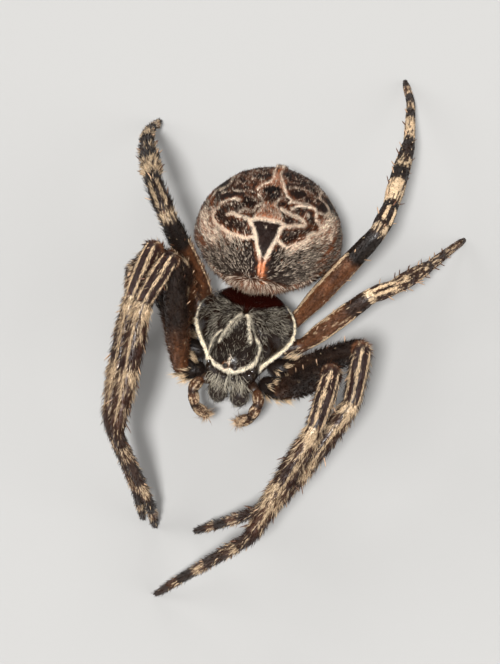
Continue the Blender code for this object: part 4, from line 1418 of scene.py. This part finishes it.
def build_leg(side, pair, seed):
    course = leg_course(side, pair)
    radii = leg_radii(course, pair)
    surface = limb_surface(course, radii)
    name = f"leg_{side}_{pair}"
    nodes = [f"{name}_{part}" for part in LEG_NODES]
    skin = Skin(f"{name}_skin", 40, 300, surface, 0.0, leg_fields(course, side, pair, seed))
    put(skin.piece, LEG_SKIN, "banded_leg", *nodes)
    size = course.total / 20.0
    roots = skin.roots(int(LEG_HAIRS["fur"] * size), "density")
    parts = [spikes(roots, 0.05 + 0.30 * roots["radius"][:, 0], **HAIR["leg fur"])]
    roots = skin.roots(int(LEG_HAIRS["long"] * size), "density")
    parts.append(spikes(roots, 0.12 + 0.50 * roots["radius"][:, 0], **HAIR["leg long"]))
    roots = skin.roots(int(LEG_HAIRS["tuft"] * size), "tuft")
    roots["marks"][:, 0] = np.maximum(roots["marks"][:, 0], 0.7)
    roots["marks"][:, 3] = np.maximum(roots["marks"][:, 3], 0.5)
    parts.append(spikes(roots, 0.14 + 0.50 * roots["radius"][:, 0], **HAIR["leg tuft"]))
    roots = clumps(skin.roots(HIP_CLUMPS, "hip"), HIP_CLUMP, HIP_SPREAD)
    roots["marks"][:] = (1.0, 0.0, 0.0, 0.62)
    parts.append(spikes(roots, **HAIR["hip"]))
    # Pale, bright hairs on the lines. On the front tibiae, the top line is partly a painted highlight.
    roots = skin.roots(int(LEG_HAIRS["line"] * size), "line")
    roots["marks"][:, 0] = np.maximum(roots["marks"][:, 0], 0.92)
    roots["marks"][:, 3] = np.maximum(roots["marks"][:, 3], 0.68)
    parts.append(spikes(roots, **HAIR["leg line"]))
    put(solid_coat(f"{name}_coat", parts), LEG_HAIR, "banded_leg")
    build_spines(name, course, radii)
    return course


def build_spines(name, course, radii):
    """The stout spines of one leg, standing out and leaning towards the foot."""
    stops = leg_stops(course)
    rows = [
        (along_leg(stops, part, share), angle, length)
        for part, share, angles, length in SPINES
        for angle in angles
    ]
    s, angle, length = np.array(rows).T
    middle, forward, top, side = course.at(s)
    turn = np.radians(angle + chance.normal(0, 5, len(s)))[:, None]
    out = top * np.cos(turn) + side * np.sin(turn)
    radius = between(radii, s)
    pale = 0.1 + 0.8 * chance.random(len(s))
    roots = {
        "place": middle + out * radius[:, None],
        "normal": out,
        "lie": forward,
        "map": np.stack([turn[:, 0] / (2 * math.pi) + 0.5, s / course.total], -1),
        "marks": marks_of(pale, 0.6, 0.2, 0.95),
    }
    made = spikes(roots, length * (0.5 + 0.3 * radius / 0.45), **HAIR["spine"])
    put(solid_coat(f"{name}_spines", [made]), SPINE_FINISH, "banded_leg")


# ---------------------------------------------------------------- mouth parts and underside

def small_limb(
    name, controls, radii, material, slot, nodes, fields, sides=24, rings=60, rounding=0.12, plane=None
):
    """The skin of a short limb along a few points, with its radii at shares of its length."""
    course = Course(controls, rounding, plane)
    stops = [(share * course.total, radius) for share, radius in radii]
    skin = Skin(name, sides, rings, limb_surface(course, stops), 0.0, lambda made: fields(made, course))
    put(skin.piece, material, slot, *nodes)
    return skin


def palp_fields(skin, course):
    s = skin.share
    angle = np.degrees(skin.turn)
    streak = blotches(angle / 14 + 9, s * 11, 31) * 0.6 + blotches(angle / 7 + 9, s * 22, 32) * 0.4
    joints = np.exp(-(((s - 0.34) / 0.04) ** 2)) + np.exp(-(((s - 0.6) / 0.04) ** 2))
    pale = ramp(streak, 0.52, 0.62) * 0.8 * ramp(s, 0.05, 0.2) * (1 - joints)
    warm = (0.35 + 0.4 * ramp(blotches(angle / 30 + 3, s * 6, 33), 0.35, 0.6)) * (1 - 0.8 * joints)
    _, forward, _, _ = course.at(s * course.total)
    return {
        "marks": marks_of(pale, warm, 0.2, 0.75 + 0.35 * pale),
        "lie": across(forward, skin.normals),
        "density": np.maximum(ramp(s, 0.05, 0.3), 0.02),
        "tip": np.maximum(ramp(s, 0.62, 0.85), 1e-3),
    }


def jaw_fields(skin, course):
    s = skin.share
    _, forward, _, _ = course.at(s * course.total)
    return {
        "marks": plain_marks(0.0, 0.08, 0.2, 0.7, s),
        "lie": across(forward, skin.normals),
        "density": np.maximum(ramp(s, 0.98, 0.75), 1e-3),
    }


def fang_fields(skin, course):
    s = skin.share
    _, forward, _, _ = course.at(s * course.total)
    return {
        "marks": plain_marks(0.0, 0.2, 0.8, 1.0, s),
        "lie": across(forward, skin.normals),
    }


def build_mouth():
    fang_finish = plain_finish("fang", (0.07, 0.018, 0.010), 0.16, coat=0.6)
    ahead = np.array([0.0, -1.0, 0.0]) @ turned(BODY_TURN)
    out = np.array([1.0, 0.0, 0.0]) @ turned(BODY_TURN)
    for side, sign in (("left", 1), ("right", -1)):
        controls = from_body(np.array(PALP_JOINTS) * (sign, 1, 1))
        controls[-1] += unit(controls[-1] - controls[-2]) * 0.12
        skin = small_limb(
            f"palp_{side}_skin", controls,
            ((0.0, 0.2), (0.2, 0.23), (0.34, 0.19), (0.48, 0.22), (0.6, 0.18), (0.8, 0.23), (1.0, 0.14)),
            LEG_SKIN, "banded_leg", (f"palp_{side}_upper", f"palp_{side}_lower"), palp_fields,
            plane=np.cross(controls[1] - controls[0], controls[3] - controls[1]),
        )
        fur, tip, long = PALP_HAIRS
        parts = [spikes(skin.roots(fur, "density"), **HAIR["palp fur"])]
        roots = skin.roots(tip, "tip")
        roots["marks"][:] = (0.7, 0.7, 0.0, 0.55)
        parts.append(spikes(roots, **HAIR["palp tip"]))
        roots = skin.roots(long, "density")
        roots["marks"][:, 0] = 0.7
        parts.append(spikes(roots, **HAIR["palp long"]))
        put(solid_coat(f"palp_{side}_coat", parts), LEG_HAIR, "banded_leg")

        controls = from_body(np.array(PALP_BASE) * (sign, 1, 1))
        small_limb(
            f"palp_{side}_base", controls, ((0.0, 0.2), (0.5, 0.27), (1.0, 0.2)), LEG_SKIN, "banded_leg", (),
            lambda made, course: soft_fields(made), sides=20, rings=24, plane=(0.0, 0.0, 1.0),
        )

        jaw = f"chelicera_{side}"
        top, bottom = from_body(np.array(CHELICERA) * (sign, 1, 1))
        skin = small_limb(
            f"{jaw}_skin", [top, (top + bottom) / 2 + ahead * 0.06, bottom],
            ((0.0, 0.30), (0.25, 0.37), (0.55, 0.40), (0.85, 0.32), (1.0, 0.22)),
            JAW_SKIN, "dark_shell", (jaw,), jaw_fields, plane=out,
        )
        roots = skin.roots(JAW_HAIRS, "density")
        roots["marks"][:] = (0.22, 0.12, 0.0, 0.36)
        hanging = (roots["place"] - (top + bottom) / 2) * (0.9, 0.4, 0.0) + ahead * 0.8 + (0.0, 0.0, -0.5)
        roots["lie"] = across(hanging, roots["normal"])
        put(solid_coat(f"{jaw}_coat", [spikes(roots, **HAIR["jaw"])]), HEAD_HAIR, "dark_shell")

        fang = f"fang_{side}"
        base, tip = from_body(np.array(FANG) * (sign, 1, 1))
        small_limb(
            f"{fang}_claw", [base, (base + tip) / 2 + ahead * 0.02, tip],
            ((0.0, 0.085), (0.4, 0.07), (1.0, 0.018)),
            fang_finish, "fang", (fang,), fang_fields, sides=16, rings=30, rounding=0.06, plane=ahead,
        )


def soft_fields(skin):
    s = skin.share
    return {
        "marks": marks_of(0.08 * ramp(blotches(skin.turn * 6, s * 12, 41), 0.5, 0.7), 0.2, 0.3, 0.6),
        "lie": across(np.broadcast_to([0.0, 1.0, 0.0], skin.places.shape), skin.normals),
        "density": np.ones_like(s),
    }


def flat_body(front, length, widths, middle, thickness):
    """A low rounded body under the carapace, in its own axes from front to rear."""

    def surface(share, turn):
        along = (1 - np.cos(np.pi * share)) / 2
        round_off = np.sqrt(np.clip(1 - np.abs(2 * along - 1) ** 4, 0, 1))
        width = between(widths, along) * round_off
        height = middle + thickness * round_off * np.sin(turn)
        return from_body(np.stack([width * np.cos(turn), front + length * along, height], -1))

    return surface


def build_underside():
    """The soft walls between carapace and sternum, the sternum, the stalk and the spinnerets."""
    walls = flat_body(-1.75, 4.05, ((0.0, 1.05), (0.45, 1.45), (1.0, 0.95)), -0.36, 0.5)
    put(Skin("body_walls", 48, 40, walls, 0.0, soft_fields).piece, LEG_SKIN, "banded_leg")

    plate = flat_body(-1.27, 3.04, ((0.0, 0.5), (0.35, 0.82), (1.0, 0.28)), -0.95, 0.22)
    skin = Skin("sternum_skin", 48, 40, plate, 0.0, soft_fields)
    put(skin.piece, SHELL, "dark_shell", "sternum")
    roots = skin.roots(STERNUM_HAIRS, "density")
    roots["marks"][:, 0] = 0.3
    put(solid_coat("sternum_coat", [spikes(roots, **HAIR["sternum"])]), HEAD_HAIR, "dark_shell")

    stalk = Course(from_body(STALK), 0.1, plane=(1.0, 0.0, 0.0))
    radii = ((0.0, 0.2), (stalk.total / 2, 0.2), (stalk.total, 0.24))
    skin = Skin("stalk_skin", 24, 24, limb_surface(stalk, radii), 0.0, soft_fields)
    put(skin.piece, LEG_SKIN, "banded_leg")

    low, high = box_mm("spinnerets")
    middle = (low + high) / 2
    parts = []
    for i, (dx, dy, thick) in enumerate(SPINNERETS):
        top = middle + np.array([dx, dy, 0.5])
        tip = np.array([middle[0] + dx * 0.75, middle[1] + dy * 0.7, low[2] + 0.03])
        course = Course([top, (top + tip) / 2, tip], 0.06, plane=(1.0, 0.0, 0.0))
        radii = ((0.0, thick * 0.8), (course.total * 0.5, thick), (course.total, thick * 0.5))
        skin = Skin(f"spinneret_{i + 1}", 20, 20, limb_surface(course, radii), 0.0, soft_fields)
        put(skin.piece, LEG_SKIN, "banded_leg", "spinnerets")
        parts.append(spikes(skin.roots(SPINNERET_HAIRS, "density"), **HAIR["spinneret"]))
    put(solid_coat("spinneret_coat", parts), LEG_HAIR, "banded_leg")


def build_claws(courses):
    """The pair of small curved claws on each foot."""
    finish_of_claws = plain_finish("claw", (0.03, 0.015, 0.010), 0.2, coat=0.3)
    for name, course in courses.items():
        middle, forward, _, side = (value[0] for value in course.at(np.array([course.total])))
        for number, sign in enumerate((1, -1)):
            root = middle + forward * -0.04 + side * 0.045 * sign
            tip = np.array([*(middle + forward * 0.02 + side * 0.09 * sign)[:2], 0.03])
            bend = (root + tip) / 2 + forward * 0.05
            small_limb(
                f"{name}_claw_{number + 1}", [root, bend, tip],
                ((0.0, 0.035), (0.5, 0.03), (1.0, 0.012)),
                finish_of_claws, "fang", (), fang_fields, sides=8, rings=10, rounding=0.02, plane=side * sign,
            )


# ---------------------------------------------------------------- floor, light and camera

def build_studio():
    bm = bmesh.new()
    bmesh.ops.create_grid(bm, x_segments=2, y_segments=2, size=FLOOR_HALF)
    floor = added("floor", mesh_of(bm, "floor"))
    material, tree, shader = new_material("pale floor")
    feed(tree, shader, {"Base Color": (0.42, 0.415, 0.405, 1.0), "Roughness": 0.85})
    floor.data.materials.append(material)

    world = bpy.data.worlds.new("soft room")
    bpy.context.scene.world = world
    world.use_nodes = True
    sky = world.node_tree.nodes["Background"]
    feed(world.node_tree, sky, {"Color": (1.0, 0.98, 0.96, 1.0), "Strength": 0.24})
    for name, azimuth, elevation, strength, spread in LIGHTS:
        light = bpy.data.lights.new(name, "SUN")
        light.energy = strength
        light.angle = math.radians(spread)
        lamp = added(name, light)
        lamp.rotation_euler = from_angles(azimuth, elevation).to_track_quat("Z", "Y").to_euler()


def from_angles(azimuth, elevation):
    """The direction towards a place round the model: azimuth 0 is in front of its head."""
    a, e = math.radians(azimuth), math.radians(elevation)
    return Vector((math.sin(a) * math.cos(e), -math.cos(a) * math.cos(e), math.sin(e)))


def build_camera():
    data = bpy.data.cameras.new("camera")
    data.lens = LENS
    data.clip_start, data.clip_end = 0.002, 10.0
    camera = added("camera", data)
    direction = from_angles(CAMERA_AZIMUTH, CAMERA_ELEVATION)
    camera.location = Vector(CAMERA_TARGET) * MM + direction * CAMERA_DISTANCE * MM
    camera.rotation_euler = direction.to_track_quat("Z", "Y").to_euler()
    bpy.context.scene.camera = camera
    bpy.context.scene.view_settings.view_transform = "Standard"


build_camera()
build_studio()
build_abdomen()
build_carapace()
build_eyes()
leg_courses = {}
for side_name in ("left", "right"):
    for pair_number in LEG_THICKNESS:
        start_seed = 100 + 10 * pair_number + (5 if side_name == "left" else 0)
        leg_courses[f"leg_{side_name}_{pair_number}"] = build_leg(side_name, pair_number, start_seed)
build_mouth()
build_underside()
build_claws(leg_courses)
